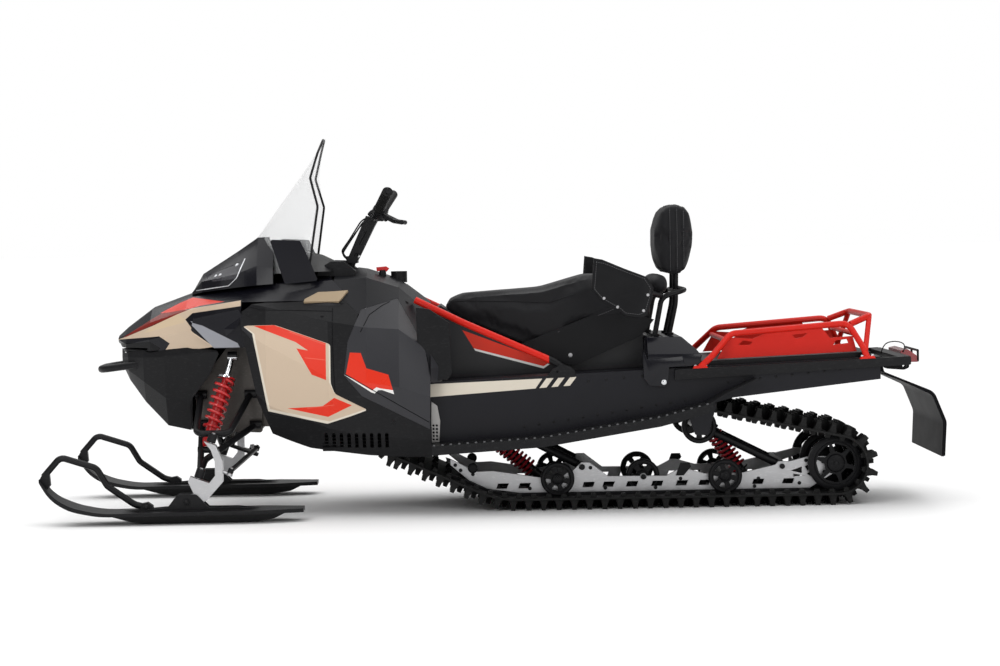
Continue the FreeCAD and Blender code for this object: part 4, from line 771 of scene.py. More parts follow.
@dataclass
class Cushion:
    """A stuffed, sewn pad: a closed form that is blown up a little and then seamed."""

    shop: Shop
    name: str
    node: str
    voxel: float = 0.007
    smoothing: int = 6
    pressure: float = 4.0
    stretch: float = 18.0
    bending: float = 1.5
    frames: int = 20
    cap: float = 0.012
    start: float = 0.005
    fill: float = 0.75

    def first(self) -> Mesh:
        """The closed form that the pad starts from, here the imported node's own."""
        return self.shop.nodes[self.node].data.copy()

    def form(self) -> Object:
        """The pad's first shape, remeshed and drawn in a little."""
        mesh = self.first()
        work = bmesh.new()
        work.from_mesh(mesh)
        bmesh.ops.remove_doubles(work, verts=work.verts, dist=1e-5)
        work.to_mesh(mesh)
        work.free()
        obj = linked(self.name + "_form", mesh)
        remesh = obj.modifiers.new("remesh", "REMESH")
        remesh.mode = "VOXEL"
        remesh.voxel_size = self.voxel
        smooth = obj.modifiers.new("smooth", "SMOOTH")
        smooth.factor, smooth.iterations = 0.5, self.smoothing
        mesh = self.shop.evaluated(obj)
        for vertex, normal in zip(mesh.vertices, [v.normal.copy() for v in mesh.vertices]):
            vertex.co -= normal * self.start
        return linked(self.name + "_form", mesh)

    def inflate(self, obj: Object) -> Mesh:
        """Blows the form up with a cloth simulation and caps how far each point moves."""
        before = [v.co.copy() for v in obj.data.vertices]
        cloth = obj.modifiers.new("cloth", "CLOTH")
        settings = cloth.settings
        settings.use_pressure = True
        settings.uniform_pressure_force = self.pressure
        settings.effector_weights.gravity = 0.0
        settings.tension_stiffness = settings.compression_stiffness = self.stretch
        settings.bending_stiffness = self.bending
        scene = bpy.context.scene
        cloth.point_cache.frame_start, cloth.point_cache.frame_end = 1, self.frames
        for frame in range(1, self.frames + 1):
            scene.frame_set(frame)
        mesh = self.shop.evaluated(obj)
        scene.frame_set(1)
        for vertex, old in zip(mesh.vertices, before):
            step = vertex.co - old
            if step.length > self.cap:
                vertex.co = old + step * (self.cap / step.length)
        return mesh

    def shape(self, mesh: Mesh) -> None:
        """Presses seams and hollows into the pad. Each cushion has its own."""

    def make(self) -> Object:
        """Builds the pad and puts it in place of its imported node."""
        obj = self.form()
        mesh = self.inflate(obj)
        self.shape(mesh)
        piece = self.shop.finish(self.name, mesh, "vinyl", "seat_vinyl", angle=180.0)
        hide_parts(self.node)
        return piece


def groove(mesh: Mesh, distance: Callable[[Vector], float], depth: float, width: float) -> None:
    """Presses a V-shaped line into a mesh.

    Args:
        mesh: The mesh to press.
        distance: How far a point is from the line.
        depth: The line's depth.
        width: Its half width.
    """
    normals = [v.normal.copy() for v in mesh.vertices]
    for vertex, normal in zip(mesh.vertices, normals):
        away = distance(vertex.co)
        if away < width:
            vertex.co -= normal * depth * (1.0 - away / width) ** 1.5


class SeatCushion(Cushion):
    """The long seat, with a seam on each side."""

    seam_ends: tuple[Point, Point] = ((0.116, 0.0, 0.625), (0.44, 0.0, 0.751))

    def shape(self, mesh: Mesh) -> None:
        """Presses the side seams."""
        a, b = (Vector(end) for end in self.seam_ends)
        run = (b - a).normalized()

        def side(co: Vector) -> float:
            """Distance from the side seam."""
            flat = Vector((co.x, 0.0, co.z)) - a
            share = max(0.0, min((b - a).length, flat.dot(run)))
            return (flat - run * share).length

        groove(mesh, side, 0.0035, 0.010)


class BackrestCushion(Cushion):
    """The passenger's backrest pad, round at both ends, with three seams round its edge."""

    seams: tuple[float, float, float] = (0.660, 0.686, 0.712)
    outline: tuple[Flat, ...] = ((0.652, 0.867), (0.628, 0.888), (0.617, 0.940), (0.618, 1.060), (0.630, 1.112),
                                 (0.656, 1.136), (0.690, 1.142), (0.726, 1.132), (0.746, 1.105), (0.752, 1.050),
                                 (0.744, 0.950), (0.728, 0.886), (0.706, 0.866))
    half: float = 0.158
    rounding: float = 0.030

    def first(self) -> Mesh:
        """A rounded block in the pad's side outline."""
        return self.shop.bevelled(block(self.outline, -self.half, self.half), self.rounding, 4, 60.0)

    def shape(self, mesh: Mesh) -> None:
        """Presses the seams round the pad."""
        for place in self.seams:
            groove(mesh, lambda co, x=place: abs(co.x - x), 0.003, 0.008)


# Repeats in Geometry Nodes


class GeometryTree:
    """A Geometry Nodes tree with named inputs, which ends in real geometry with its material set."""

    def __init__(self, name: str, inputs: dict[str, tuple[str, Any]]) -> None:
        """Starts the tree.

        Args:
            name: The tree's name.
            inputs: Each input's socket type and value, by its name.
        """
        self.group = bpy.data.node_groups.new(name, "GeometryNodeTree")
        face = self.group.interface
        face.new_socket("Geometry", in_out="INPUT", socket_type="NodeSocketGeometry")
        self.values: dict[str, Any] = {}
        for label, (kind, value) in inputs.items():
            self.values[face.new_socket(label, in_out="INPUT", socket_type=kind).identifier] = value
        face.new_socket("Geometry", in_out="OUTPUT", socket_type="NodeSocketGeometry")
        self.source = self.group.nodes.new("NodeGroupInput")

    def given(self, name: str) -> bpy.types.NodeSocket:
        """One of the tree's inputs."""
        return self.source.outputs[name]

    def node(self, kind: str, settings: dict[str, Any], values: dict[Any, Any]) -> bpy.types.Node:
        """Adds a node.

        Args:
            kind: The node's type.
            settings: Its own settings, which are set first.
            values: Numbers or sockets for its inputs, by name or index.

        Returns:
            The new node.
        """
        made = self.group.nodes.new(kind)
        for key, setting in settings.items():
            setattr(made, key, setting)
        for key, value in values.items():
            if isinstance(value, bpy.types.NodeSocket):
                self.group.links.new(value, made.inputs[key])
            else:
                made.inputs[key].default_value = value
        return made

    def close(self, geometry: bpy.types.NodeSocket) -> None:
        """Realizes the geometry, sets its material and sends it out."""
        real = self.node("GeometryNodeRealizeInstances", {}, {"Geometry": geometry})
        dressed = self.node("GeometryNodeSetMaterial", {},
                            {"Geometry": real.outputs[0], "Material": self.given("Material")})
        sink = self.group.nodes.new("NodeGroupOutput")
        self.group.links.new(dressed.outputs[0], sink.inputs[0])

    def run(self, shop: Shop, mesh: Mesh) -> Mesh:
        """The tree's result on a mesh."""
        obj = linked("carrier", mesh)
        modifier = obj.modifiers.new("repeat", "NODES")
        modifier.node_group = self.group
        for identifier, value in self.values.items():
            modifier[identifier] = value
        return shop.evaluated(obj)


class Repeats:
    """Places small forms on points and along lines."""

    def __init__(self, shop: Shop) -> None:
        """Keeps the shop that the pieces are made in."""
        self.shop = shop

    def on_points(self, form: Object, seats: Sequence[Seat], finish: str) -> Mesh:
        """A form on each seat, its Z axis along the seat's direction.

        Args:
            form: The form, round its own Z axis.
            seats: Each place with its direction.
            finish: The finish that it wears.

        Returns:
            The forms as one mesh.
        """
        mesh = bpy.data.meshes.new("seats")
        mesh.from_pydata([place for place, _ in seats], [], [])
        facing = mesh.attributes.new("facing", "FLOAT_VECTOR", "POINT")
        for value, (_, direction) in zip(facing.data, seats):
            value.vector = direction
        tree = GeometryTree("forms_on_points", {
            "Form": ("NodeSocketObject", form), "Material": ("NodeSocketMaterial", self.shop.finishes.get(finish))})
        direction = tree.node("GeometryNodeInputNamedAttribute", {"data_type": "FLOAT_VECTOR"}, {"Name": "facing"})
        turned = tree.node("FunctionNodeAlignRotationToVector", {"axis": "Z"}, {"Vector": direction.outputs[0]})
        info = tree.node("GeometryNodeObjectInfo", {}, {"Object": tree.given("Form")})
        placed = tree.node("GeometryNodeInstanceOnPoints", {}, {
            "Points": tree.given("Geometry"), "Instance": info.outputs["Geometry"], "Rotation": turned.outputs[0]})
        tree.close(placed.outputs[0])
        return tree.run(self.shop, mesh)

    def on_line(self, form: Object, line: Sequence[Point], pitch: float, finish: str,
                closed: bool = False, upright: bool = False, every: int = 1, first: int = 0) -> Mesh:
        """A form at even steps along a line.

        Args:
            form: The form. Its Z axis follows the line, or where upright its X axis does and Y stays as it is.
            line: The line's points.
            pitch: The step.
            finish: The finish that it wears.
            closed: True for a loop.
            upright: True to turn the form round Y only.
            every: Takes one step in this many.
            first: The first step taken.

        Returns:
            The forms as one mesh.
        """
        mesh = bpy.data.meshes.new("line")
        edges = [(i, i + 1) for i in range(len(line) - 1)] + ([(len(line) - 1, 0)] if closed else [])
        mesh.from_pydata(list(line), edges, [])
        tree = GeometryTree("forms_on_line", {
            "Form": ("NodeSocketObject", form), "Material": ("NodeSocketMaterial", self.shop.finishes.get(finish)),
            "Pitch": ("NodeSocketFloat", pitch), "Every": ("NodeSocketInt", every), "First": ("NodeSocketInt", first)})
        curve = tree.node("GeometryNodeMeshToCurve", {}, {"Mesh": tree.given("Geometry")})
        steps = tree.node("GeometryNodeCurveToPoints", {"mode": "LENGTH"},
                          {"Curve": curve.outputs[0], "Length": tree.given("Pitch")})
        turned = steps.outputs["Rotation"]
        if upright:
            turned = tree.node("FunctionNodeAlignRotationToVector", {"axis": "X", "pivot_axis": "Y"},
                               {"Vector": steps.outputs["Tangent"]}).outputs[0]
        index = tree.node("GeometryNodeInputIndex", {}, {})
        phase = tree.node("ShaderNodeMath", {"operation": "MODULO"}, {0: index.outputs[0], 1: tree.given("Every")})
        taken = tree.node("FunctionNodeCompare", {"data_type": "FLOAT", "operation": "EQUAL"},
                          {0: phase.outputs[0], 1: tree.given("First")})
        info = tree.node("GeometryNodeObjectInfo", {}, {"Object": tree.given("Form")})
        placed = tree.node("GeometryNodeInstanceOnPoints", {}, {
            "Points": steps.outputs["Points"], "Selection": taken.outputs[0], "Instance": info.outputs["Geometry"],
            "Rotation": turned})
        tree.close(placed.outputs[0])
        return tree.run(self.shop, mesh)

    def coil(self, foot: Point, head: Point, radius: float, wire: float, turns: float, finish: str) -> Mesh:
        """A coil spring between two points.

        Args:
            foot: Its lower end.
            head: Its upper end.
            radius: The radius of its turns.
            wire: The wire's radius.
            turns: How many turns.
            finish: The finish that it wears.

        Returns:
            Its mesh.
        """
        run = Vector(head) - Vector(foot)
        tree = GeometryTree("coil_spring", {
            "Material": ("NodeSocketMaterial", self.shop.finishes.get(finish)),
            "Turns": ("NodeSocketFloat", turns), "Radius": ("NodeSocketFloat", radius),
            "Wire": ("NodeSocketFloat", wire), "Length": ("NodeSocketFloat", run.length)})
        spiral = tree.node("GeometryNodeCurveSpiral", {}, {
            "Resolution": 28, "Rotations": tree.given("Turns"), "Start Radius": tree.given("Radius"),
            "End Radius": tree.given("Radius"), "Height": tree.given("Length")})
        ring = tree.node("GeometryNodeCurvePrimitiveCircle", {"mode": "RADIUS"},
                         {"Resolution": 10, "Radius": tree.given("Wire")})
        tube = tree.node("GeometryNodeCurveToMesh", {}, {
            "Curve": spiral.outputs[0], "Profile Curve": ring.outputs[0], "Fill Caps": True})
        tree.close(tube.outputs[0])
        mesh = tree.run(self.shop, bpy.data.meshes.new("coil"))
        mesh.transform(Matrix.Translation(foot) @ run.to_track_quat("Z", "Y").to_matrix().to_4x4())
        return mesh

    def bolt(self, radius: float, height: float, sides: int = 12) -> Object:
        """A bolt or rivet head with a broken edge and a small washer."""

        def build(work: BMesh) -> None:
            """Draws the head."""
            for wide, narrow, low, high, count in ((1.35, 1.3, -0.2, 0.2, 16), (1.0, 0.98, 0.2, 0.8, sides),
                                                   (0.98, 0.72, 0.8, 1.0, sides)):
                bmesh.ops.create_cone(work, cap_ends=True, segments=count, radius1=radius * wide,
                                      radius2=radius * narrow, depth=height * (high - low),
                                      matrix=Matrix.Translation((0.0, 0.0, height * (high + low) / 2)))

        return self.shop.form(build)

    def peg(self, radius: float, length: float, sides: int = 8) -> Object:
        """A short peg along Z with tapered ends, for stitches, ribs and rings."""

        def build(work: BMesh) -> None:
            """Draws the peg."""
            for narrow, wide, low, high in ((0.7, 1.0, -0.5, -0.3), (1.0, 1.0, -0.3, 0.3), (1.0, 0.7, 0.3, 0.5)):
                bmesh.ops.create_cone(work, cap_ends=True, segments=sides, radius1=radius * narrow,
                                      radius2=radius * wide, depth=length * (high - low),
                                      matrix=Matrix.Translation((0.0, 0.0, length * (high + low) / 2)))

        return self.shop.form(build)


class Skin:
    """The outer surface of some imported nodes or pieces, on which trim is seated."""

    def __init__(self, objects: Iterable[Object]) -> None:
        """Builds one search tree over the objects' faces."""
        places: list[Vector] = []
        faces: list[tuple[int, ...]] = []
        for obj in objects:
            start = len(places)
            places += [v.co.copy() for v in obj.data.vertices]
            faces += [tuple(start + i for i in face.vertices) for face in obj.data.polygons]
        self.tree = BVHTree.FromPolygons(places, faces)

    def side(self, x: float, z: float, side: int, lift: float = 0.0) -> Seat | None:
        """The place on one side of the machine at (x, z), lifted off the surface, and the way it faces."""
        place, normal, _, _ = self.tree.ray_cast(Vector((x, 2.0 * side, z)), Vector((0.0, -side, 0.0)))
        if place is None:
            return None
        return tuple(place + normal * lift), tuple(normal)

    def line(self, corners: Sequence[Flat], side: int, lift: float, step: float = 0.012) -> list[Point]:
        """A line on the side's surface through (x, z) corners."""
        places = []
        for (x0, z0), (x1, z1) in zip(corners, corners[1:]):
            count = max(1, round(math.hypot(x1 - x0, z1 - z0) / step))
            for i in range(count + 1):
                hit = self.side(x0 + (x1 - x0) * i / count, z0 + (z1 - z0) * i / count, side, lift)
                if hit and (not places or (Vector(hit[0]) - Vector(places[-1])).length > 1e-4):
                    places.append(hit[0])
        return places


def run_length(points: Sequence[Point]) -> float:
    """The length of a line through points."""
    return sum((Vector(b) - Vector(a)).length for a, b in zip(points, points[1:]))


def ring(x: float, z: float, radius: float, count: int = 20) -> list[Flat]:
    """The corners of a round hole or disc in the side view."""
    return [(x + radius * math.cos(2 * math.pi * i / count), z + radius * math.sin(2 * math.pi * i / count))
            for i in range(count)]


def bent(points: Sequence[Point], radius: float, steps: int = 6) -> list[Point]:
    """The points of a bent tube's middle, each inner corner rounded.

    Args:
        points: The corners.
        radius: The bend's radius, less where a run is short.
        steps: Points in each bend.

    Returns:
        The points.
    """
    places = [Vector(points[0])]
    for before, here, after in zip(points, points[1:], points[2:]):
        corner, back, on = Vector(here), Vector(before) - Vector(here), Vector(after) - Vector(here)
        half = back.angle(on) / 2
        reach = min(radius / math.tan(half), back.length * 0.48, on.length * 0.48)
        start, end = corner + back.normalized() * reach, corner + on.normalized() * reach
        for i in range(steps + 1):
            share = i / steps
            places.append(start * (1 - share) ** 2 + corner * 2 * share * (1 - share) + end * share ** 2)
    places.append(Vector(points[-1]))
    return [tuple(place) for place in places]


def revolved(profile: Sequence[Flat], centre: Point, count: int = 40) -> Mesh:
    """A closed form turned round a Y axis.

    Args:
        profile: Its (radius, y) corners, from the axis out and back to it.
        centre: The axis's place.
        count: Steps round.

    Returns:
        Its mesh.
    """
    work = bmesh.new()
    rows = []
    for i in range(count):
        angle = 2 * math.pi * i / count
        rows.append([work.verts.new((centre[0] + r * math.cos(angle), centre[1] + y, centre[2] + r * math.sin(angle)))
                     for r, y in profile])
    size = len(profile)
    for i in range(count):
        for k in range(size):
            work.faces.new((rows[i][k], rows[i][(k + 1) % size], rows[(i + 1) % count][(k + 1) % size],
                            rows[(i + 1) % count][k]))
    bmesh.ops.remove_doubles(work, verts=work.verts, dist=MERGE)
    return baked(work, "revolved")


# Sub-assemblies

SIDES = (-1, 1)
STITCH = 0.0085
SATIN = ("black_satin", "plastic_black")
BLACK_STEEL = ("frame_black", "steel_black")
BRIGHT_METAL = ("bright", "aluminium_mill")
RIVET_PALE = ("pale_rivet", "plastic_grey")


@dataclass
class Assembly:
    """A sub-assembly: it knows the shop that its pieces are made in."""

    shop: Shop

    @property
    def repeats(self) -> Repeats:
        """The tool for forms that repeat."""
        return Repeats(self.shop)

    def skin(self, *names: str) -> Skin:
        """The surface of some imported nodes."""
        return Skin(self.shop.nodes[name] for name in names)

    def rod(self, start: Point, end: Point, radius: float) -> Mesh:
        """A straight round bar."""
        return self.shop.tube([start, end], radius, smooth=False)

    def pipe(self, points: Sequence[Point], radius: float, bend: float) -> Mesh:
        """A bent round tube."""
        return self.shop.tube(bent(points, bend), radius, smooth=False)

    def outward(self, spots: Iterable[Flat], reach: float) -> list[Seat]:
        """Seats at (x, z) spots on both sides, this far from the middle and facing outwards."""
        return [((x, side * reach, z), (0.0, float(side), 0.0)) for side in SIDES for x, z in spots]

    def heads(self, name: str, seats: Sequence[Seat], size: Flat, wear: tuple[str, str], sides: int = 12,
              mirror: bool = False) -> None:
        """Bolt or rivet heads as one piece.

        Args:
            name: The piece's name.
            seats: Each head's place with the way it faces.
            size: A head's radius and height.
            wear: The finish it wears and the record's material slot.
            sides: How many sides a head has.
            mirror: True to add the same heads on the machine's other side.
        """
        mesh = self.repeats.on_points(self.repeats.bolt(*size, sides), seats, wear[0])
        self.shop.finish(name, self.shop.mirrored(mesh) if mirror else mesh, *wear)

    def beads(self, skin: Skin, lines: Iterable[Sequence[Flat]], lift: float, step: float,
              radius: float) -> list[Mesh]:
        """Thin round lines laid on a surface along side-view lines.

        Args:
            skin: The surface.
            lines: Each line's (x, z) corners.
            lift: How far the line's middle stands off the surface.
            step: The distance between two points on the surface.
            radius: The line's radius.

        Returns:
            Their meshes, for both sides.
        """
        laid = []
        for side in SIDES:
            for corners in lines:
                points = skin.line(corners, side, lift, step)
                if len(points) > 3:
                    laid.append(self.shop.tube(points, radius, smooth=False))
        return laid


# Track, rails, wheels and springs


@dataclass
class TrackLoop(Assembly):
    """The moulded rubber track: a belt round its wheels, paddles outside and drive lugs inside."""

    curve: tuple[float, float, float] = (0.074, 0.396, 0.350)
    rear: tuple[float, float, float] = (1.274, 0.151, 0.105)
    idler: tuple[float, float, float] = (0.760, 0.300, 0.066)
    drive: tuple[float, float, float] = (-0.357, 0.299, 0.088)
    half_width: float = 0.300
    belt: float = 0.008
    pitch: float = 0.0287
    fit: float = 0.99999
    paddle: float = 0.0375
    foot: float = 0.0125
    crest: float = 0.0078
    notch_share: float = 0.10
    notch_height: float = 0.72
    buttress: tuple[float, float, float, float] = (0.019, 0.009, 0.6, 0.006)
    rows: tuple[tuple[Flat, ...], ...] = (((-0.98, -0.62), (-0.22, 0.22), (0.62, 0.98)),
                                          ((-0.60, -0.26), (0.26, 0.60)))
    lugs: tuple[tuple[float, float, float], ...] = ((-0.100, 0.018, 0.022), (0.100, 0.018, 0.022),
                                                    (-0.268, 0.014, 0.014), (0.268, 0.014, 0.014))
    lug_steps: float = 1.97

    def loop(self, offset: float) -> list[Flat]:
        """The belt's line at an offset outside the wheels, along its top towards the rear."""
        wheels = [(Vector((x, z)), r + offset) for x, z, r in (self.curve, self.rear, self.idler, self.drive)]
        count = len(wheels)
        leaving = []
        for i, (centre, radius) in enumerate(wheels):
            following, next_radius = wheels[(i + 1) % count]
            run = following - centre
            leaving.append(math.atan2(run.y, run.x) - math.pi / 2 + math.asin((radius - next_radius) / run.length))
        places = []
        for i, (centre, radius) in enumerate(wheels):
            start, end = leaving[i - 1], leaving[i]
            while end < start:
                end += 2 * math.pi
            steps = max(2, math.ceil((end - start) / math.radians(5.0)))
            for k in range(steps + 1):
                angle = start + (end - start) * k / steps
                places.append((centre.x + radius * math.cos(angle), centre.y + radius * math.sin(angle)))
        return places[::-1]

    def band(self) -> Mesh:
        """The belt itself."""
        inner, outer = self.loop(0.0), self.loop(self.belt)
        half = self.half_width
        work = bmesh.new()
        rows = [[work.verts.new(place) for place in ((a[0], -half, a[1]), (b[0], -half, b[1]), (b[0], half, b[1]),
                                                     (a[0], half, a[1]))] for a, b in zip(inner, outer)]
        for here, after in zip(rows, rows[1:] + rows[:1]):
            for k in range(4):
                work.faces.new((here[k], here[(k + 1) % 4], after[(k + 1) % 4], after[k]))
        return baked(work, "belt")

    def paddles(self, spans: Sequence[Flat]) -> Object:
        """One row of paddles over shares of the half width, each with buttresses and a notched crest."""

        def build(work: BMesh) -> None:
            """Draws the row, its foot on z = 0 and the belt along X."""
            tall, foot, crest = self.paddle, self.foot, self.crest
            wide, narrow, rise, thick = self.buttress
            for low, high in spans:
                a, b = low * self.half_width, high * self.half_width
                middle, notch = (a + b) / 2, (b - a) * self.notch_share
                for start, end, top in ((a, middle - notch, tall),
                                        (middle - notch, middle + notch, tall * self.notch_height),
                                        (middle + notch, b, tall)):
                    drawn_out(work, ((-foot, -0.004), (foot, -0.004), (crest, top), (-crest, top)), start, end)
                for y in (a + 0.004, b - 0.010):
                    drawn_out(work, ((-wide, -0.003), (wide, -0.003), (narrow, tall * rise), (-narrow, tall * rise)),
                              y, y + thick)

        return self.shop.form(build)

    def drive_lugs(self) -> Object:
        """One row of inner lugs: two for the drivers and a bead at each edge."""

        def build(work: BMesh) -> None:
            """Draws the row under the belt's inner face."""
            for middle, half, deep in self.lugs:
                corners = ((-0.013, 0.002), (0.013, 0.002), (0.007, -deep), (-0.007, -deep))
                drawn_out(work, corners, middle - half, middle + half)

        return self.shop.form(build)

    def make(self) -> None:
        """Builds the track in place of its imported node."""
        outer, inner = ([(x, 0.0, z) for x, z in self.loop(offset)] for offset in (self.belt, 0.0))
        length = run_length([*outer, outer[0]])
        pitch = length / (2 * round(length / self.pitch / 2)) * self.fit
        parts = [self.band()]
        for first, spans in enumerate(self.rows):
            parts.append(self.repeats.on_line(self.paddles(spans), outer, pitch, "rubber", True, True, 2, first))
        parts.append(self.repeats.on_line(self.drive_lugs(), inner, pitch * self.lug_steps, "rubber", True, True))
        piece = self.shop.finish("track_moulded", self.shop.joined(parts), "rubber", "rubber_black")
        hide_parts("track")


@dataclass
class Rails(Assembly):
    """The two slotted slide rails with their bolts and tip rollers."""

    outline: tuple[Flat, ...] = (
        (-0.196, 0.196), (-0.178, 0.190), (-0.114, 0.157), (-0.076, 0.140), (-0.020, 0.142), (0.165, 0.113),
        (0.280, 0.135), (0.316, 0.168), (0.346, 0.168), (0.372, 0.148), (0.416, 0.114), (0.636, 0.112),
        (0.688, 0.139), (0.706, 0.139), (0.780, 0.118), (0.926, 0.118), (1.050, 0.146), (1.060, 0.158),
        (1.090, 0.158), (1.100, 0.157), (1.172, 0.174), (1.300, 0.175), (1.300, 0.127), (1.180, 0.056),
        (0.080, 0.056), (-0.040, 0.074), (-0.110, 0.108), (-0.190, 0.176))
    shafts: tuple[Flat, ...] = ((0.224, 0.110), (0.856, 0.110), (0.550, 0.110), (1.274, 0.151), (0.318, 0.150),
                                (1.075, 0.140))
    windows: tuple[tuple[Flat, ...], ...] = (
        ((1.110, 0.122), (1.150, 0.136), (1.150, 0.112)), ((1.118, 0.110), (1.160, 0.102), (1.118, 0.100)),
        ((1.162, 0.138), (1.206, 0.158), (1.200, 0.140), (1.172, 0.120)),
        ((1.170, 0.110), (1.206, 0.132), (1.206, 0.104), (1.184, 0.100)))
    middle: float = 0.185
    thick: float = 0.0118
    places: tuple[float, ...] = (0.017, 0.100, 0.342, 0.418, 0.507, 0.602, 0.695, 0.781, 0.984, 1.098)
    slot: tuple[float, float, float, float] = (0.0235, 0.0095, 0.007, 0.083)
    shaft_hole: float = 0.0106
    bolts: tuple[Flat, ...] = (
        (-0.160, 0.166), (-0.140, 0.146), (-0.094, 0.130), (0.120, 0.073), (0.350, 0.147), (0.405, 0.070),
        (0.595, 0.068), (0.690, 0.124), (0.690, 0.100), (0.970, 0.066), (0.985, 0.095), (1.140, 0.075),
        (1.230, 0.155), (1.235, 0.115), (1.166, 0.160))
    roller: tuple[Flat, ...] = ((0.0, -0.012), (0.014, -0.012), (0.019, -0.008), (0.019, 0.008), (0.014, 0.012),
                                (0.0, 0.012))
    bracket: tuple[Flat, ...] = ((0.672, 0.112), (0.702, 0.112), (0.730, 0.145), (0.724, 0.160), (0.690, 0.160),
                                 (0.684, 0.145))

    def slots(self) -> list[list[Flat]]:
        """The row of leaning slots along the rail."""
        half, tall, lean, height = self.slot
        return [[(x - half, height - tall), (x + half - lean, height - tall), (x + half, height + tall),
                 (x - half + lean, height + tall)] for x in self.places]

    def make(self) -> None:
        """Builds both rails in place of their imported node, and their bolts."""
        holes = [*self.slots(), *(ring(x, z, self.shaft_hole) for x, z in self.shafts), *self.windows]
        left = self.shop.plate(self.outline, holes, self.thick, -self.middle, 0.0012)
        piece = self.shop.finish("rails_slotted", self.shop.mirrored(left), "rail_silver", "aluminium_mill")
        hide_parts("slide_rails")
        reach = self.middle + self.thick / 2
        self.heads("rail_bolts", self.outward(self.bolts, reach), (0.0055, 0.004), BLACK_STEEL)
        rollers = []
        for side in SIDES:
            rollers.append(revolved(self.roller, (-0.094, side * (reach + 0.0125), 0.155)))
            rollers.append(self.shop.plate(self.bracket, (), 0.006, side * (reach + 0.0032)))
        self.shop.finish("rail_rollers", self.shop.joined(rollers), *SATIN)


@dataclass
class Wheels(Assembly):
    """The bogie wheels, idlers and rear wheels: rubber tyres on webs with windows."""

    outer: float = 0.2176
    inner: float = 0.1524
    half: float = 0.013
    shaft: float = 0.0098
    bolts: tuple[Flat, ...] = ((0.224, 0.110), (0.856, 0.110), (1.274, 0.151))
    bolt_reach: float = 0.2330

    def wheel(self, x: float, z: float, radius: float, y: float, windows: int, span: float) -> list[Mesh]:
        """One wheel.

        Args:
            x: Its place along the machine.
            z: Its height.
            radius: Its radius.
            y: The place of its middle.
            windows: How many windows its web has.
            span: Each window's size, as a share of the radius.

        Returns:
            Its tyre, web and hub.
        """
        r, h = radius - 0.0004, self.half
        tyre = [(r * 0.80, -h), (r * 0.93, -h), (r, -h * 0.62), (r, h * 0.62), (r * 0.93, h), (r * 0.80, h),
                (r * 0.76, h * 0.6), (r * 0.76, -h * 0.6)]
        hub = [(0.0, -h * 1.2), (r * 0.20, -h * 1.2), (r * 0.30, -h * 0.9), (r * 0.34, -h * 0.3), (r * 0.34, h * 0.3),
               (r * 0.30, h * 0.9), (r * 0.20, h * 1.2), (0.0, h * 1.2)]
        holes = []
        for i in range(windows):
            middle = 2 * math.pi * (i + 0.25) / windows
            wide = span * 1.15
            corners = [(0.42, -wide * 0.42), (0.42, wide * 0.42), (0.68, wide * 0.62), (0.70, wide * 0.40),
                       (0.70, -wide * 0.40), (0.68, -wide * 0.62)]
            holes.append([(x + r * reach * math.cos(middle + around), z + r * reach * math.sin(middle + around))
                          for reach, around in corners])
        web = self.shop.plate(ring(x, z, r * 0.79, 36), holes, h * 0.8, y)
        return [revolved(tyre, (x, y, z)), web, revolved(hub, (x, y, z), 24)]

    def make(self) -> None:
        """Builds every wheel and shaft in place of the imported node."""
        parts: list[Mesh] = []
        for x, z, radius, places, windows, span, reach in (
                (0.224, 0.110, 0.064, (-self.outer, self.outer), 6, 0.42, 0.2335),
                (0.856, 0.110, 0.064, (-self.outer, self.outer), 6, 0.42, 0.2335),
                (0.550, 0.110, 0.064, (-self.inner, self.inner), 5, 0.55, 0.199),
                (1.274, 0.151, 0.105, (-self.outer, 0.0, self.outer), 6, 0.62, 0.2335),
                (0.760, 0.300, 0.066, (-self.outer, self.outer), 5, 0.55, 0.315)):
            parts.append(self.rod((x, -reach, z), (x, reach, z), self.shaft))
            for y in places:
                parts += self.wheel(x, z, radius, y, windows, span)
        piece = self.shop.finish("wheels_rubber_tyred", self.shop.joined(parts), *SATIN)
        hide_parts("suspension_wheels")
        self.heads("wheel_bolts", self.outward(self.bolts, self.bolt_reach), (0.009, 0.006), BLACK_STEEL, 6)


@dataclass
class Springs(Assembly):
    """The four coil springs, bright red in front and dark red inside the track."""

    front: tuple[Point, Point] = ((-1.075, -0.335, 0.2833), (-0.985, -0.250, 0.596))
    front_span: Flat = (0.205, 0.715)
    front_coil: tuple[float, float, float] = (0.031, 0.0056, 6.6)
    skid: tuple[tuple[tuple[Point, Point], Flat, float], ...] = (
        (((0.178, 0.0, 0.092), (-0.040, 0.0, 0.268)), (0.205, 0.775), 9.0),
        (((0.952, 0.0, 0.096), (0.810, 0.0, 0.290)), (0.125, 0.835), 9.5))
    skid_coil: Flat = (0.029, 0.0054)

    def spring(self, ends: tuple[Point, Point], span: Flat, size: tuple[float, float, float], finish: str) -> Mesh:
        """A coil over a part of a damper.

        Args:
            ends: The damper's foot and head.
            span: Where on it the coil starts and ends, as shares of its length.
            size: The radius of the turns, the wire's radius and the number of turns.
            finish: The finish that it wears.

        Returns:
            Its mesh.
        """
        foot, head = (Vector(end) for end in ends)
        low, high = (tuple(foot.lerp(head, share)) for share in span)
        return self.repeats.coil(low, high, *size, finish)

    def make(self) -> None:
        """Builds the springs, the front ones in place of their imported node."""
        left = self.spring(self.front, self.front_span, self.front_coil, "spring_red")
        skid = [self.spring(ends, span, (*self.skid_coil, turns), "spring_dark") for ends, span, turns in self.skid]
        front = self.shop.finish("springs_front", self.shop.mirrored(left), "spring_red", "steel_red")
        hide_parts("coil_springs")
        self.shop.finish("springs_track", self.shop.joined(skid), "spring_dark", "steel_red")


# Rack, tail box, shells and roll


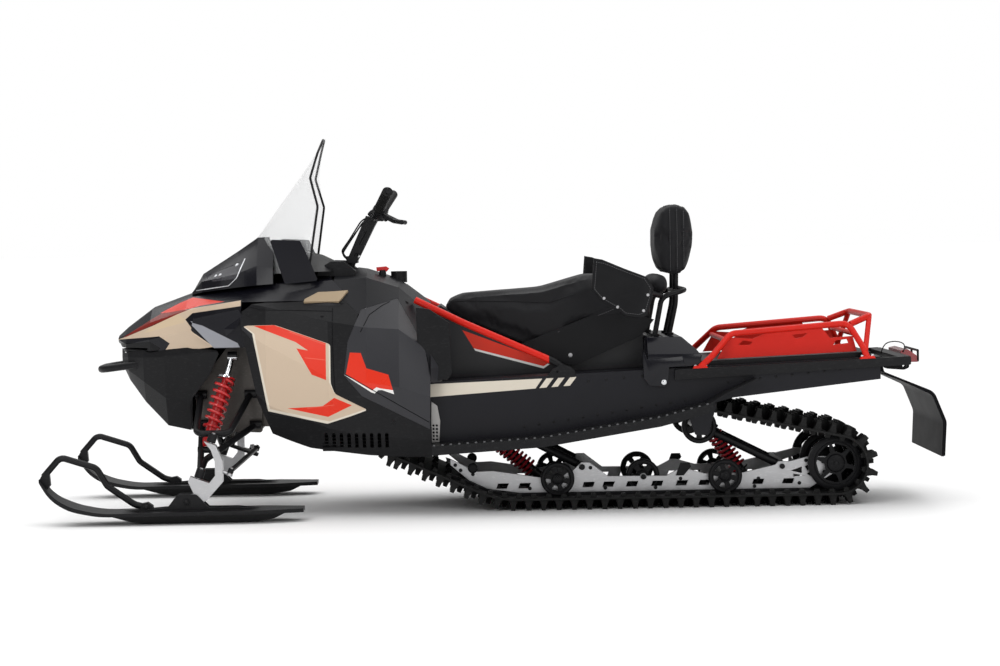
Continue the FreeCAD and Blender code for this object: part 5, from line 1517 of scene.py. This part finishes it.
@dataclass
class Rack(Assembly):
    """The red cargo rack: two side hoops with pierced walls, a raised rear hoop and bright clamps."""

    side: float = 0.268
    foot_side: float = 0.3325
    tube: float = 0.012
    bars: tuple[Flat, ...] = ((0.862, 0.622), (1.342, 0.640))
    bolts: tuple[Flat, ...] = ((0.738, 0.533), (0.776, 0.535), (1.360, 0.559), (1.398, 0.5605))
    foot_width: float = 0.026

    def make(self) -> None:
        """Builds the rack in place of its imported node."""
        side, foot = self.side, self.foot_side
        hoop = self.pipe([(0.756, -foot, 0.529), (0.800, -foot, 0.568), (0.878, -side, 0.648), (1.318, -side, 0.680),
                          (1.366, -foot + 0.012, 0.590), (1.379, -foot, 0.553)], self.tube, 0.045)
        brim = self.shop.plate(
            ((0.826, 0.554), (0.872, 0.634), (0.960, 0.628), (1.010, 0.648), (1.220, 0.664), (1.250, 0.626),
             (1.335, 0.632), (1.350, 0.574)),
            (((0.905, 0.605), (0.948, 0.605), (0.960, 0.616), (0.925, 0.622)),
             ((1.108, 0.640), (1.165, 0.645), (1.150, 0.632), (1.120, 0.626)),
             ((1.262, 0.600), (1.318, 0.606), (1.312, 0.620), (1.272, 0.616))), 0.004, -side)
        stay = self.rod((1.372, -foot + 0.004, 0.576), (1.402, -side + 0.028, 0.700), self.tube * 0.85)
        pad = self.shop.plate(((0.728, 0.524), (0.784, 0.526), (0.778, 0.536), (0.734, 0.534)), (),
                              self.foot_width, -foot)
        pad_rear = self.shop.plate(((1.350, 0.5485), (1.408, 0.551), (1.402, 0.560), (1.356, 0.558)), (),
                                   self.foot_width, -foot)
        mirrored = self.shop.mirrored(self.shop.joined([hoop, brim, stay, pad, pad_rear]))
        raised = self.pipe([(1.326, -side, 0.676), (1.404, -side + 0.026, 0.706), (1.404, side - 0.026, 0.706),
                            (1.326, side, 0.676)], self.tube, 0.030)
        bars = [self.rod((x, -side, z), (x, side, z), self.tube * 0.8) for x, z in self.bars]
        piece = self.shop.finish("rack_hoops", self.shop.joined([mirrored, raised, *bars]), "red_coat", "steel_red")
        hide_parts("cargo_rack")
        seats = [((x, side * foot, z), (0.0, 0.0, 1.0)) for x, z in self.bolts for side in SIDES]
        self.heads("rack_bolts", seats, (0.0062, 0.005), BRIGHT_METAL, 6)


@dataclass
class TailHousing(Assembly):
    """The glossy tail box under the backrest: a shouldered lid with a skirt down each side of the tunnel."""

    half: float = 0.334
    outline: tuple[Flat, ...] = ((0.5615, 0.526), (0.758, 0.534), (0.762, 0.572), (0.744, 0.594), (0.692, 0.6405),
                                 (0.5615, 0.6405))
    skirt: tuple[Flat, ...] = ((0.546, 0.490), (0.566, 0.462), (0.626, 0.456), (0.636, 0.480), (0.640, 0.530),
                               (0.700, 0.5335), (0.690, 0.570), (0.560, 0.560), (0.541, 0.600))
    overlap: float = 0.003
    skirt_inside: float = 0.3215
    shoulder: float = 0.578
    shoulder_slope: Flat = (0.8, 0.55)
    grooves: tuple[float, ...] = (0.580, 0.600, 0.620)

    def make(self) -> None:
        """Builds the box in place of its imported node."""
        work = bmesh.new()
        work.from_mesh(block(self.outline, -self.half, self.half))
        for side in SIDES:
            slope = Vector((0.0, side * self.shoulder_slope[0], self.shoulder_slope[1])).normalized()
            cut = bmesh.ops.bisect_plane(work, geom=work.verts[:] + work.edges[:] + work.faces[:],
                                         plane_co=(0.0, side * self.half, self.shoulder), plane_no=slope,
                                         clear_outer=True)
            bmesh.ops.holes_fill(work, edges=[e for e in cut["geom_cut"] if isinstance(e, bmesh.types.BMEdge)])
        lid = baked(work, "lid")
        outside = self.half + self.overlap
        skirt = self.shop.mirrored(block(self.skirt, -outside, -self.skirt_inside))
        grooves = [block(((x, 0.6405), (x + 0.006, 0.6405), (x + 0.006, 0.6435), (x, 0.6435)), -0.24, 0.24)
                   for x in self.grooves]
        box = self.shop.bevelled(self.shop.joined([lid, skirt, *grooves]), 0.005, 2)
        piece = self.shop.finish("tail_box", box, "black_gloss", "plastic_gloss")
        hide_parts("tail_housing")
        self.heads("tail_box_bolts", self.outward([(0.620, 0.475)], outside), (0.0075, 0.005), BRIGHT_METAL, 6)


@dataclass
class Shells(Assembly):
    """The passenger's side shells: thick sewn panels, a little dished, with a welt and rivets."""

    outline: tuple[Flat, ...] = (
        (0.366, 0.940), (0.398, 0.934), (0.482, 0.898), (0.562, 0.867), (0.586, 0.826), (0.582, 0.787),
        (0.562, 0.722), (0.536, 0.714), (0.482, 0.722), (0.460, 0.743), (0.391, 0.784), (0.356, 0.826))
    middle: float = 0.324
    thick: float = 0.013
    rivets: tuple[Flat, ...] = ((0.402, 0.790), (0.452, 0.757), (0.565, 0.800), (0.548, 0.742))

    def make(self) -> None:
        """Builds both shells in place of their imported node."""
        plate = self.shop.plate(self.outline, (), self.thick, 0.0, 0.004)
        work = bmesh.new()
        work.from_mesh(plate)
        bmesh.ops.remove_doubles(work, verts=work.verts, dist=MERGE)
        bmesh.ops.triangulate(work, faces=work.faces)
        bmesh.ops.subdivide_edges(work, edges=[e for e in work.edges if e.calc_length() > 0.02], cuts=3,
                                  use_grid_fill=True)
        bmesh.ops.triangulate(work, faces=work.faces)
        for vertex in work.verts:
            x, z = vertex.co.x, vertex.co.z
            dish = math.exp(-(((x - 0.47) / 0.07) ** 2 + ((z - 0.82) / 0.06) ** 2)) * 0.006
            crease = max(0.0, 1.0 - abs((x - 0.40) * 0.66 + (z - 0.86) * 0.75) / 0.012) * 0.0025
            vertex.co.y += dish + crease - 0.003
        left = baked(work, "shell")
        left.transform(Matrix.Translation((0.0, -self.middle, 0.0)))
        piece = self.shop.finish("shells_sewn", self.shop.mirrored(left), "sewn", "seat_vinyl", angle=50.0)
        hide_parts("passenger_shells")
        skin = Skin([piece])
        seats = [hit for side in SIDES for x, z in self.rivets if (hit := skin.side(x, z, side))]
        self.heads("shell_rivets", seats, (0.0042, 0.003), RIVET_PALE)
        edge = [(x + (0.47 - x) * 0.10, z + (0.82 - z) * 0.13) for x, z in self.outline]
        stitches = [self.repeats.on_line(self.repeats.peg(0.0009, 0.0058, 6),
                                         skin.line([*edge, edge[0]], side, 0.0006), STITCH, "thread")
                    for side in SIDES]
        self.shop.finish("shell_stitches", self.shop.joined(stitches), "thread", "seat_vinyl")


@dataclass
class LumbarRoll(Assembly):
    """The padded roll across the passenger's place, strapped to the backrest's loop."""

    outline: tuple[Flat, ...] = ((0.583, 0.850), (0.600, 0.868), (0.628, 0.873), (0.650, 0.862), (0.656, 0.832),
                                 (0.650, 0.806), (0.625, 0.797), (0.598, 0.806), (0.584, 0.826))
    half: float = 0.205
    centre: Flat = (0.620, 0.835)
    straps: tuple[float, ...] = (-0.62, 0.0, 0.62)
    steps: int = 48

    def make(self) -> None:
        """Builds the roll, fuller in its middle and drawn in at three straps."""
        centre = self.centre
        work = bmesh.new()
        rows = []
        for i in range(self.steps + 1):
            share = -1.0 + 2.0 * i / self.steps
            y = share * self.half
            full = max(0.0, 1.0 - abs(share) ** 7) ** 0.5
            strap = sum(math.exp(-((share - at) / 0.035) ** 2) for at in self.straps)
            scale = full * (1.0 - 0.10 * strap) * (1.0 + 0.03 * math.cos(share * 9.0))
            rows.append([work.verts.new((centre[0] + (x - centre[0]) * scale, y, centre[1] + (z - centre[1]) * scale))
                         for x, z in self.outline])
        size = len(self.outline)
        for here, after in zip(rows, rows[1:]):
            for k in range(size):
                work.faces.new((here[k], here[(k + 1) % size], after[(k + 1) % size], after[k]))
        bmesh.ops.remove_doubles(work, verts=work.verts, dist=MERGE)
        obj = linked("roll", baked(work, "roll"))
        smooth = obj.modifiers.new("smooth", "SUBSURF")
        smooth.levels = smooth.render_levels = 2
        piece = self.shop.finish("lumbar_roll", self.shop.evaluated(obj), "vinyl", "seat_vinyl", angle=180.0)


# Glazing, lamps and body trim


@dataclass
class Screen(Assembly):
    """The windshield's black edge trim."""

    edge: tuple[Point, ...] = ((-0.694, 0.262, 0.902), (-0.657, 0.226, 1.148), (-0.686, 0.180, 1.256),
                               (-0.660, 0.118, 1.350), (-0.642, 0.042, 1.402))
    trim: float = 0.0045

    def make(self) -> None:
        """Builds the trim round the open edge of the screen."""
        right = list(self.edge)
        left = [(x, -y, z) for x, y, z in reversed(right)]
        mesh = self.pipe([*right, *left], self.trim, 0.03)
        self.shop.finish("screen_edge_trim", mesh, *SATIN)


@dataclass
class Vents(Assembly):
    """Louvres and a dark backing behind the openings low on each flank."""

    low: float = 0.250
    high: float = 0.332
    front: float = -0.650
    rear: float = -0.392
    place: float = 0.340
    slat: tuple[Flat, ...] = ((-0.010, -0.006), (0.010, 0.004), (0.010, 0.007), (-0.010, -0.003))
    count: int = 6
    step: float = 0.0125

    def make(self) -> None:
        """Builds the louvres of both sides."""

        def slat(work: BMesh) -> None:
            """Draws one louvre, thin and leaning, round the middle of the opening."""
            half = (self.rear - self.front) / 2
            prism(work, [(-half, y, z) for y, z in self.slat], [(half, y, z) for y, z in self.slat])

        middle = (self.front + self.rear) / 2
        seats = [((middle, -self.place, self.low + 0.008 + self.step * i), (0.0, 0.0, 1.0)) for i in range(self.count)]
        slats = self.repeats.on_points(self.shop.form(slat), seats, "black_satin")
        back = self.shop.plate(((self.front, self.low - 0.01), (self.rear, self.low - 0.01), (self.rear, self.high),
                                (self.front, self.high)), (), 0.004, -self.place + 0.016)
        self.shop.finish("flank_louvres", self.shop.mirrored(self.shop.joined([slats, back])), "black_satin",
                         "plastic_black")


@dataclass
class Lamps(Assembly):
    """The headlights' bright lower line and small reflectors, and the tail lamp's frame and wire."""

    line: tuple[Flat, ...] = ((-1.128, 0.838), (-0.997, 0.857), (-0.966, 0.886), (-0.936, 0.956))
    reflectors: tuple[Flat, ...] = ((-1.052, 0.893), (-1.034, 0.897), (-0.968, 0.934))

    def make(self) -> None:
        """Builds the lamps' trim."""
        skin = self.skin("headlight_pod", "headlight_lenses")
        lines = self.beads(skin, [self.line], 0.0012, 0.02, 0.0024)
        self.shop.finish("headlight_bright_line", self.shop.joined(lines), *BRIGHT_METAL)
        seats = [hit for side in SIDES for x, z in self.reflectors if (hit := skin.side(x, z, side, 0.0006))]
        self.heads("headlight_reflectors", seats, (0.0055, 0.003), BRIGHT_METAL, 8)
        frame = [self.rod((1.606, -0.128, z), (1.606, 0.128, z), 0.0045) for z in (0.527, 0.566)]
        frame += [self.rod((1.606, y, 0.527), (1.606, y, 0.566), 0.0045) for y in (-0.128, 0.0, 0.128)]
        self.shop.finish("tail_lamp_frame", self.shop.joined(frame), *SATIN)
        wire = self.shop.tube([(1.462, -0.150, 0.560), (1.470, -0.150, 0.590), (1.500, -0.152, 0.604),
                               (1.540, -0.150, 0.600), (1.556, -0.146, 0.584), (1.548, -0.140, 0.560)], 0.0022)
        self.shop.finish("tail_wire_bail", wire, *BLACK_STEEL)


@dataclass
class Bar(Assembly):
    """The handlebar's cheek plates, grips, controls and cables, and the key beside the filler."""

    cheek: tuple[Flat, ...] = ((-0.562, 0.938), (-0.524, 0.930), (-0.442, 1.092), (-0.484, 1.112))
    cheek_slot: tuple[Flat, ...] = ((-0.514, 1.004), (-0.503, 0.999), (-0.477, 1.050), (-0.488, 1.055))
    grip: tuple[Point, Point] = ((-0.432, -0.236, 1.128), (-0.392, -0.386, 1.196))
    rib_step: float = 0.0075
    cable_width: float = 0.0056
    cables: tuple[tuple[Point, ...], ...] = (
        ((-0.470, -0.120, 1.108), (-0.500, -0.118, 1.092), (-0.545, -0.092, 1.024), (-0.582, -0.052, 0.975),
         (-0.558, -0.030, 0.948)),
        ((-0.466, -0.100, 1.106), (-0.506, -0.098, 1.070), (-0.556, -0.072, 0.998), (-0.578, -0.045, 0.966),
         (-0.558, -0.020, 0.944)),
        ((-0.470, 0.110, 1.108), (-0.502, 0.108, 1.088), (-0.550, 0.084, 1.018), (-0.582, 0.050, 0.972),
         (-0.558, 0.030, 0.946)))
    barrel: tuple[Flat, ...] = ((0.0, -0.016), (0.013, -0.016), (0.014, 0.0), (0.011, 0.012), (0.0, 0.012))

    def cable(self, name: str, points: Sequence[Point]) -> None:
        """One control cable, a cord that bows from the bar to the dash."""
        path = bent(points, 0.05, 8)
        length = run_length(path)
        mesh = self.shop.tube(path, self.cable_width / 2, smooth=False)
        piece = self.shop.finish(name, mesh, "black_satin", "plastic_black", Body.HANDLEBAR)

    def make(self) -> None:
        """Builds the bar's trim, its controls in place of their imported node, its cables and the key."""
        holes = (ring(-0.5215, 0.960, 0.010), self.cheek_slot)
        cheek = self.shop.plate(self.cheek, holes, 0.006, -0.0445)
        self.shop.finish("bar_cheeks", self.shop.mirrored(cheek), "frame_black", "steel_black", Body.HANDLEBAR)
        rib = self.repeats.peg(0.0192, 0.0038, 20)
        ribs = [self.repeats.on_line(rib, [(x, y * -side, z) for x, y, z in self.grip], self.rib_step, "rubber")
                for side in SIDES]
        self.shop.finish("grip_ribs", self.shop.joined(ribs), "rubber", "rubber_black", Body.HANDLEBAR)
        for index, points in enumerate(self.cables):
            self.cable(f"control_cable_{index + 1}", points)
        controls = self.shop.joined([
            self.rod((-0.4379, -0.2078, 1.1155), (-0.4265, -0.2507, 1.1346), 0.023),
            self.rod((-0.434, -0.222, 1.122), (-0.410, -0.238, 1.100), 0.015),
            self.pipe([(-0.416, -0.235, 1.112), (-0.372, -0.262, 1.089), (-0.342, -0.326, 1.084)], 0.009, 0.024),
            self.rod((-0.462, -0.196, 1.124), (-0.440, -0.206, 1.100), 0.014)])
        piece = self.shop.finish("brake_and_switch_blocks", self.shop.mirrored(controls), "black_satin",
                                 "plastic_black", Body.HANDLEBAR)
        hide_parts("bar_controls")
        lock = revolved(self.barrel, (0.0, 0.0, 0.0), 20)
        lock.transform(Matrix.Translation((-0.424, -0.060, 0.892)) @ Matrix.Rotation(math.pi / 2, 4, "X"))
        self.shop.finish("key_barrel", lock, *SATIN)
        blade = self.shop.plate(((-0.446, 0.900), (-0.408, 0.898), (-0.398, 0.910), (-0.410, 0.918), (-0.448, 0.915)),
                                (), 0.006, -0.060)
        self.shop.finish("key_head", blade, "key_red", "steel_red")


@dataclass
class Flap(Assembly):
    """Moulded ribs down the rear face of the snow flap."""

    line: tuple[Flat, ...] = ((1.448, 0.4925), (1.6315, 0.4165), (1.6765, 0.3062), (1.6695, 0.178))
    places: tuple[float, ...] = (-0.296, -0.180, -0.060, 0.060, 0.180, 0.296)

    def make(self) -> None:
        """Builds the ribs."""
        ribs = [self.pipe([(x, y, z) for x, z in self.line], 0.0042, 0.05) for y in self.places]
        self.shop.finish("flap_ribs", self.shop.joined(ribs), "flap_gloss", "rubber_black")


@dataclass
class Hull(Assembly):
    """The bodywork's seams, fasteners and vent covers, and the dark forms behind and beside its gaps."""

    seams: tuple[tuple[Flat, ...], ...] = (
        ((-0.596, 0.470), (-0.603, 0.640), (-0.602, 0.772)), ((-0.939, 0.788), (-0.867, 0.770), (-0.604, 0.761)),
        ((-0.557, 0.531), (-0.253, 0.348)), ((-0.500, 0.683), (-0.468, 0.745), (-0.421, 0.777), (-0.381, 0.796)))
    vent: tuple[Flat, ...] = ((-0.709, 0.790), (-0.706, 0.799), (-0.656, 0.824), (-0.600, 0.826), (-0.548, 0.829),
                              (-0.564, 0.808), (-0.580, 0.790))
    rear_panel: tuple[Flat, ...] = ((-0.296, 0.770), (-0.246, 0.762), (-0.172, 0.709), (-0.166, 0.524),
                                    (-0.181, 0.501), (-0.290, 0.490))
    screws: tuple[Flat, ...] = (
        (-0.915, 0.752), (-0.640, 0.745), (-0.905, 0.300), (-0.660, 0.240), (-0.385, 0.352), (-0.285, 0.690),
        (-0.245, 0.430), (-0.570, 0.790), (-0.330, 0.785), (-1.060, 0.660))
    air_box: tuple[Flat, ...] = ((-0.985, 0.640), (-0.975, 0.800), (-0.640, 0.800), (-0.600, 0.640))
    cheek: tuple[Flat, ...] = ((-1.120, 0.740), (-0.952, 0.772), (-0.900, 0.690), (-0.900, 0.632), (-1.040, 0.628),
                               (-1.130, 0.690))
    hood: tuple[Flat, ...] = ((-0.668, 0.888), (-0.655, 0.918), (-0.614, 0.942), (-0.566, 0.940), (-0.522, 0.904),
                              (-0.522, 0.884))
    lifts: Flat = (0.010, -0.008)

    def cover(self, side: int) -> Mesh:
        """One side's raised vent cover, its rim a little off the surface under it."""
        skin = self.skin(*self.shop.nodes)
        rims = [[hit[0] for x, z in self.vent if (hit := skin.side(x, z, side, lift))] for lift in self.lifts]
        work = bmesh.new()
        prism(work, *rims)
        bmesh.ops.triangulate(work, faces=work.faces)
        return baked(work, "cover")

    def make(self) -> None:
        """Builds the seams, the fasteners, the vent covers, the air box and the fillers round it."""
        skin = self.skin("side_panels", "knee_panels", "flank_panels", "tank_cover", "nose_cowl")
        lines = self.beads(skin, self.seams, 0.0, 0.015, 0.0016)
        self.shop.finish("panel_seams", self.shop.joined(lines), "lamp_dark", "plastic_black")
        seats = [hit for side in SIDES for x, z in self.screws if (hit := skin.side(x, z, side))]
        self.heads("panel_screws", seats, (0.0060, 0.003), SATIN)
        box = self.shop.bevelled(block(self.air_box, -0.120, 0.120), 0.02, 3)
        self.shop.finish("air_box", box, "lamp_dark", "plastic_black")
        covers = [self.cover(side) for side in SIDES]
        self.shop.finish("top_vent_covers", self.shop.joined(covers), "vent_beige", "plastic_gloss")
        cheek = block(self.cheek, -0.330, -0.318)
        self.shop.finish("nose_cheeks", self.shop.mirrored(cheek), "nose", "plastic_gloss")
        rear = self.shop.plate(self.rear_panel, (), 0.008, -0.352, 0.002)
        self.shop.finish("rear_knee_panels", self.shop.mirrored(rear), *SATIN)
        hood = block(self.hood, -0.190, -0.072)
        self.shop.finish("dash_hoods", self.shop.mirrored(hood), *SATIN)


@dataclass
class Tunnel(Assembly):
    """The boards' grip teeth, the tunnel's rivets, the toe plates and the brace brackets."""

    board: tuple[Flat, ...] = ((-0.236, 0.2632), (0.162, 0.286), (0.596, 0.354), (0.769, 0.398))
    board_edge: float = 0.4575
    wall: float = 0.320
    rivet_rows: tuple[tuple[Flat, Flat, int], ...] = (
        ((0.34, 0.482), (0.54, 0.498), 4), ((0.86, 0.470), (1.40, 0.520), 10), ((0.10, 0.318), (0.70, 0.405), 12))
    toe: tuple[Flat, ...] = ((-0.245, 0.417), (-0.223, 0.401), (-0.213, 0.345), (-0.217, 0.266), (-0.249, 0.264))
    bracket: tuple[Flat, ...] = ((0.192, 0.510), (0.208, 0.530), (0.240, 0.549), (0.275, 0.538), (0.290, 0.522),
                                 (0.290, 0.502), (0.194, 0.500))

    def make(self) -> None:
        """Builds the tunnel's small parts."""

        def tooth(work: BMesh) -> None:
            """Draws one raised grip tooth of the board's edge."""
            bmesh.ops.create_cone(work, cap_ends=True, segments=8, radius1=0.0062, radius2=0.0040, depth=0.0052,
                                  matrix=Matrix.Translation((0.0, 0.0, 0.0026)))

        line = [(x, -self.board_edge, z) for x, z in self.board]
        teeth = self.repeats.on_line(self.shop.form(tooth), line, 0.030, "worn_edge", upright=True)
        self.shop.finish("board_grip_teeth", self.shop.mirrored(teeth), "worn_edge", "aluminium_mill")
        seats = []
        for (x0, z0), (x1, z1), count in self.rivet_rows:
            for i in range(count):
                share = i / (count - 1)
                seats.append(((x0 + (x1 - x0) * share, -self.wall, z0 + (z1 - z0) * share), (0.0, -1.0, 0.0)))
        self.heads("tunnel_rivets", seats, (0.0040, 0.0022), BLACK_STEEL, 10, mirror=True)
        holes = [ring(x, z, 0.0042, 10) for x in (-0.2385, -0.2260) for z in (0.276, 0.289, 0.302, 0.315, 0.328)]
        toe = self.shop.plate(self.toe, holes, 0.003, -self.wall - 0.002)
        self.shop.finish("toe_plates", self.shop.mirrored(toe), "toe", "aluminium_mill")
        bracket = self.shop.plate(self.bracket, [ring(0.225, 0.520, 0.004)], 0.004, -self.wall - 0.002)
        self.shop.finish("brace_brackets", self.shop.mirrored(bracket), *BLACK_STEEL)


@dataclass
class SeatTrim(Assembly):
    """The seat's piping and stitches, and the backrest's piped seams."""

    welt: tuple[Flat, ...] = ((-0.205, 0.778), (-0.100, 0.783), (0.050, 0.779), (0.206, 0.772), (0.297, 0.802))
    seam: tuple[Flat, ...] = ((0.100, 0.6186), (0.225, 0.667), (0.323, 0.705), (0.440, 0.751))
    pad_middle: Flat = (0.0, 1.005)
    rays: int = 72

    def around(self, skin: Skin, x: float, centre: Flat, lift: float) -> list[Point]:
        """The ring where a cross plane meets the surface, seen from a (y, z) centre."""
        places = []
        for i in range(self.rays):
            angle = 2 * math.pi * i / self.rays
            direction = Vector((0.0, math.cos(angle), math.sin(angle)))
            start = Vector((x, centre[0], centre[1])) + direction * 0.6
            hit, normal, _, _ = skin.tree.ray_cast(start, -direction)
            if hit is not None:
                places.append(tuple(hit + normal * lift))
        return places

    def make(self) -> None:
        """Builds the piping and the stitches on the finished cushions."""
        seat, back = (Skin([bpy.data.objects[name]]) for name in ("seat_cushion", "backrest_cushion"))
        stitch = self.repeats.peg(0.0009, 0.0060, 6)
        piping = self.beads(seat, [self.seam], 0.0004, 0.012, 0.0016)
        piping += self.beads(seat, [self.welt], 0.0005, 0.012, 0.0022)
        low = [(x + 0.004, z - 0.009) for x, z in self.seam]
        stitches = [self.repeats.on_line(stitch, seat.line(low, side, 0.0004), STITCH, "thread") for side in SIDES]
        for x in BackrestCushion.seams:
            piping.append(self.shop.tube(self.around(back, x, self.pad_middle, 0.0002), 0.0015, closed=True))
            near = self.around(back, x + 0.006, self.pad_middle, 0.0004)
            stitches.append(self.repeats.on_line(stitch, near, STITCH, "thread", closed=True))
        self.shop.finish("seat_piping", self.shop.joined(piping), "vinyl", "seat_vinyl")
        self.shop.finish("seat_stitches", self.shop.joined(stitches), "thread", "seat_vinyl")


@dataclass
class Skirts(Assembly):
    """The panels that close the seat's rear over its base, each with a pale rivet."""

    outline: tuple[Flat, ...] = ((0.100, 0.6186), (0.440, 0.751), (0.600, 0.702), (0.552, 0.642), (0.295, 0.532),
                                 (0.215, 0.560))
    outer: float = 0.168
    inner: float = 0.128

    def make(self) -> None:
        """Builds both panels."""
        panel = self.shop.mirrored(block(self.outline, -self.outer, -self.inner))
        self.shop.finish("seat_skirts", panel, "sewn", "plastic_black")
        self.heads("seat_skirt_rivets", self.outward([(0.282, 0.573)], self.outer), (0.0060, 0.003), RIVET_PALE)


@dataclass
class SkiFittings(Assembly):
    """The brackets at both ends of each ski's loop, and the bolt through its saddle."""

    stance: float = 0.465
    tip: tuple[Flat, ...] = ((-1.678, 0.164), (-1.652, 0.126), (-1.636, 0.146), (-1.640, 0.196), (-1.662, 0.192))
    clamp: tuple[Flat, ...] = ((-1.316, 0.042), (-1.262, 0.042), (-1.266, 0.066), (-1.284, 0.078), (-1.306, 0.074))
    tip_half: float = 0.012
    clamp_half: float = 0.017
    bolts: tuple[Point, ...] = ((-1.140, 0.078, 0.0322), (-1.288, 0.060, 0.0172))

    def make(self) -> None:
        """Builds the fittings of both skis."""
        for side, body in ((-1, Body.SKI_LEFT), (1, Body.SKI_RIGHT)):
            middle = side * self.stance
            parts = [block(outline, middle - half, middle + half)
                     for outline, half in ((self.tip, self.tip_half), (self.clamp, self.clamp_half))]
            seats = [((x, middle + side * out, z), (0.0, float(side), 0.0)) for x, z, out in self.bolts]
            parts.append(self.repeats.on_points(self.repeats.bolt(0.0095, 0.007, 6), seats, "frame_black"))
            name = "ski_fittings_left" if side < 0 else "ski_fittings_right"
            self.shop.finish(name, self.shop.joined(parts), "frame_black", "steel_black", body)


# Studio


@dataclass
class Studio:
    """A pale floor, soft lights and the camera at the photograph's place."""

    eye: Point = (-0.152, -9.37, 1.068)
    lens: float = 87.9
    pan: float = 0.0184
    tilt: float = 0.0442
    roll: float = 0.0165
    room: float = 0.30
    overhead: float = 2.65
    overhead_spread: float = 100.0
    floor_reach: float = 120.0

    def floor(self) -> None:
        """The floor, a wide pale plane."""
        mesh = bpy.data.meshes.new("floor")
        side = self.floor_reach
        mesh.from_pydata([(-side, -side, 0.0), (side, -side, 0.0), (side, side, 0.0), (-side, side, 0.0)], [],
                         [(0, 1, 2, 3)])
        tree = ShaderTree("floor_pale")
        tree.feed("Base Color", (0.96, 0.96, 0.96))
        tree.feed("Roughness", 0.65)
        tree.feed("Specular IOR Level", 0.2)
        mesh.materials.append(tree.material)
        linked("floor", mesh)

    def light(self, name: str, place: Point, aim: Point, size: Flat, power: float) -> None:
        """One soft box."""
        data = bpy.data.lights.new(name, "AREA")
        data.shape = "RECTANGLE"
        data.size, data.size_y = size
        data.energy = power
        obj = linked(name, data)
        obj.location = place
        obj.rotation_euler = (Vector(aim) - Vector(place)).to_track_quat("-Z", "Y").to_euler()

    def sky(self) -> None:
        """White to the camera, and a dimmer grey room in reflections."""
        world = bpy.data.worlds.new("studio")
        world.use_nodes = True
        tree = world.node_tree
        room = tree.nodes["Background"]
        room.inputs["Color"].default_value = (1.0, 1.0, 1.0, 1.0)
        room.inputs["Strength"].default_value = self.room
        backdrop = tree.nodes.new("ShaderNodeBackground")
        backdrop.inputs["Color"].default_value = (1.0, 1.0, 1.0, 1.0)
        backdrop.inputs["Strength"].default_value = 1.0
        path, mix = tree.nodes.new("ShaderNodeLightPath"), tree.nodes.new("ShaderNodeMixShader")
        tree.links.new(path.outputs["Is Camera Ray"], mix.inputs[0])
        tree.links.new(room.outputs[0], mix.inputs[1])
        tree.links.new(backdrop.outputs[0], mix.inputs[2])
        tree.links.new(mix.outputs[0], tree.nodes["World Output"].inputs["Surface"])
        bpy.context.scene.world = world

    def sun(self) -> None:
        """A very wide soft light from above, which keeps the floor white and the shadow soft."""
        data = bpy.data.lights.new("overhead", "SUN")
        data.energy, data.angle = self.overhead, math.radians(self.overhead_spread)
        linked("overhead", data).rotation_euler = (math.radians(-14.0), math.radians(6.0), 0.0)

    def make(self) -> None:
        """Builds the studio and sets the scene's camera."""
        scene = bpy.context.scene
        scene.view_settings.view_transform = "Standard"
        self.sky()
        self.floor()
        self.sun()
        self.light("front_strip", (-2.4, -4.4, 2.6), (-0.8, 0.0, 0.5), (1.4, 2.6), 60.0)
        self.light("rear_strip", (2.6, -4.4, 2.3), (0.8, 0.0, 0.4), (1.2, 2.4), 36.0)
        data = bpy.data.cameras.new("camera")
        data.lens, data.sensor_width = self.lens, 36.0
        data.clip_end = 100.0
        camera = linked("camera", data)
        aim = Matrix.Rotation(-self.pan, 4, "Z") @ Matrix.Rotation(math.pi / 2 - self.tilt, 4, "X")
        camera.matrix_world = Matrix.Translation(self.eye) @ aim @ Matrix.Rotation(-self.roll, 4, "Z")
        scene.camera = camera


def main() -> None:
    """Builds the studio and the dressed machine."""
    logging.basicConfig(level=logging.INFO, format="%(name)s: %(message)s")
    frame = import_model()
    finishes = Finishes()
    finishes.dress(frame["nodes"])
    shop = Shop(finishes, frame["nodes"])
    Studio().make()
    for assembly in (SeatCushion(shop, "seat_cushion", "seat"),
                     BackrestCushion(shop, "backrest_cushion", "backrest_pad", voxel=0.006),
                     Screen(shop), TrackLoop(shop), Rails(shop), Wheels(shop), Springs(shop), Rack(shop),
                     TailHousing(shop), Shells(shop), LumbarRoll(shop), Vents(shop), Lamps(shop), Bar(shop),
                     Flap(shop), Hull(shop), Tunnel(shop), Skirts(shop), SkiFittings(shop), SeatTrim(shop)):
        assembly.make()
        LOG.info("%s done", type(assembly).__name__)


if __name__ == "__main__":
    main()
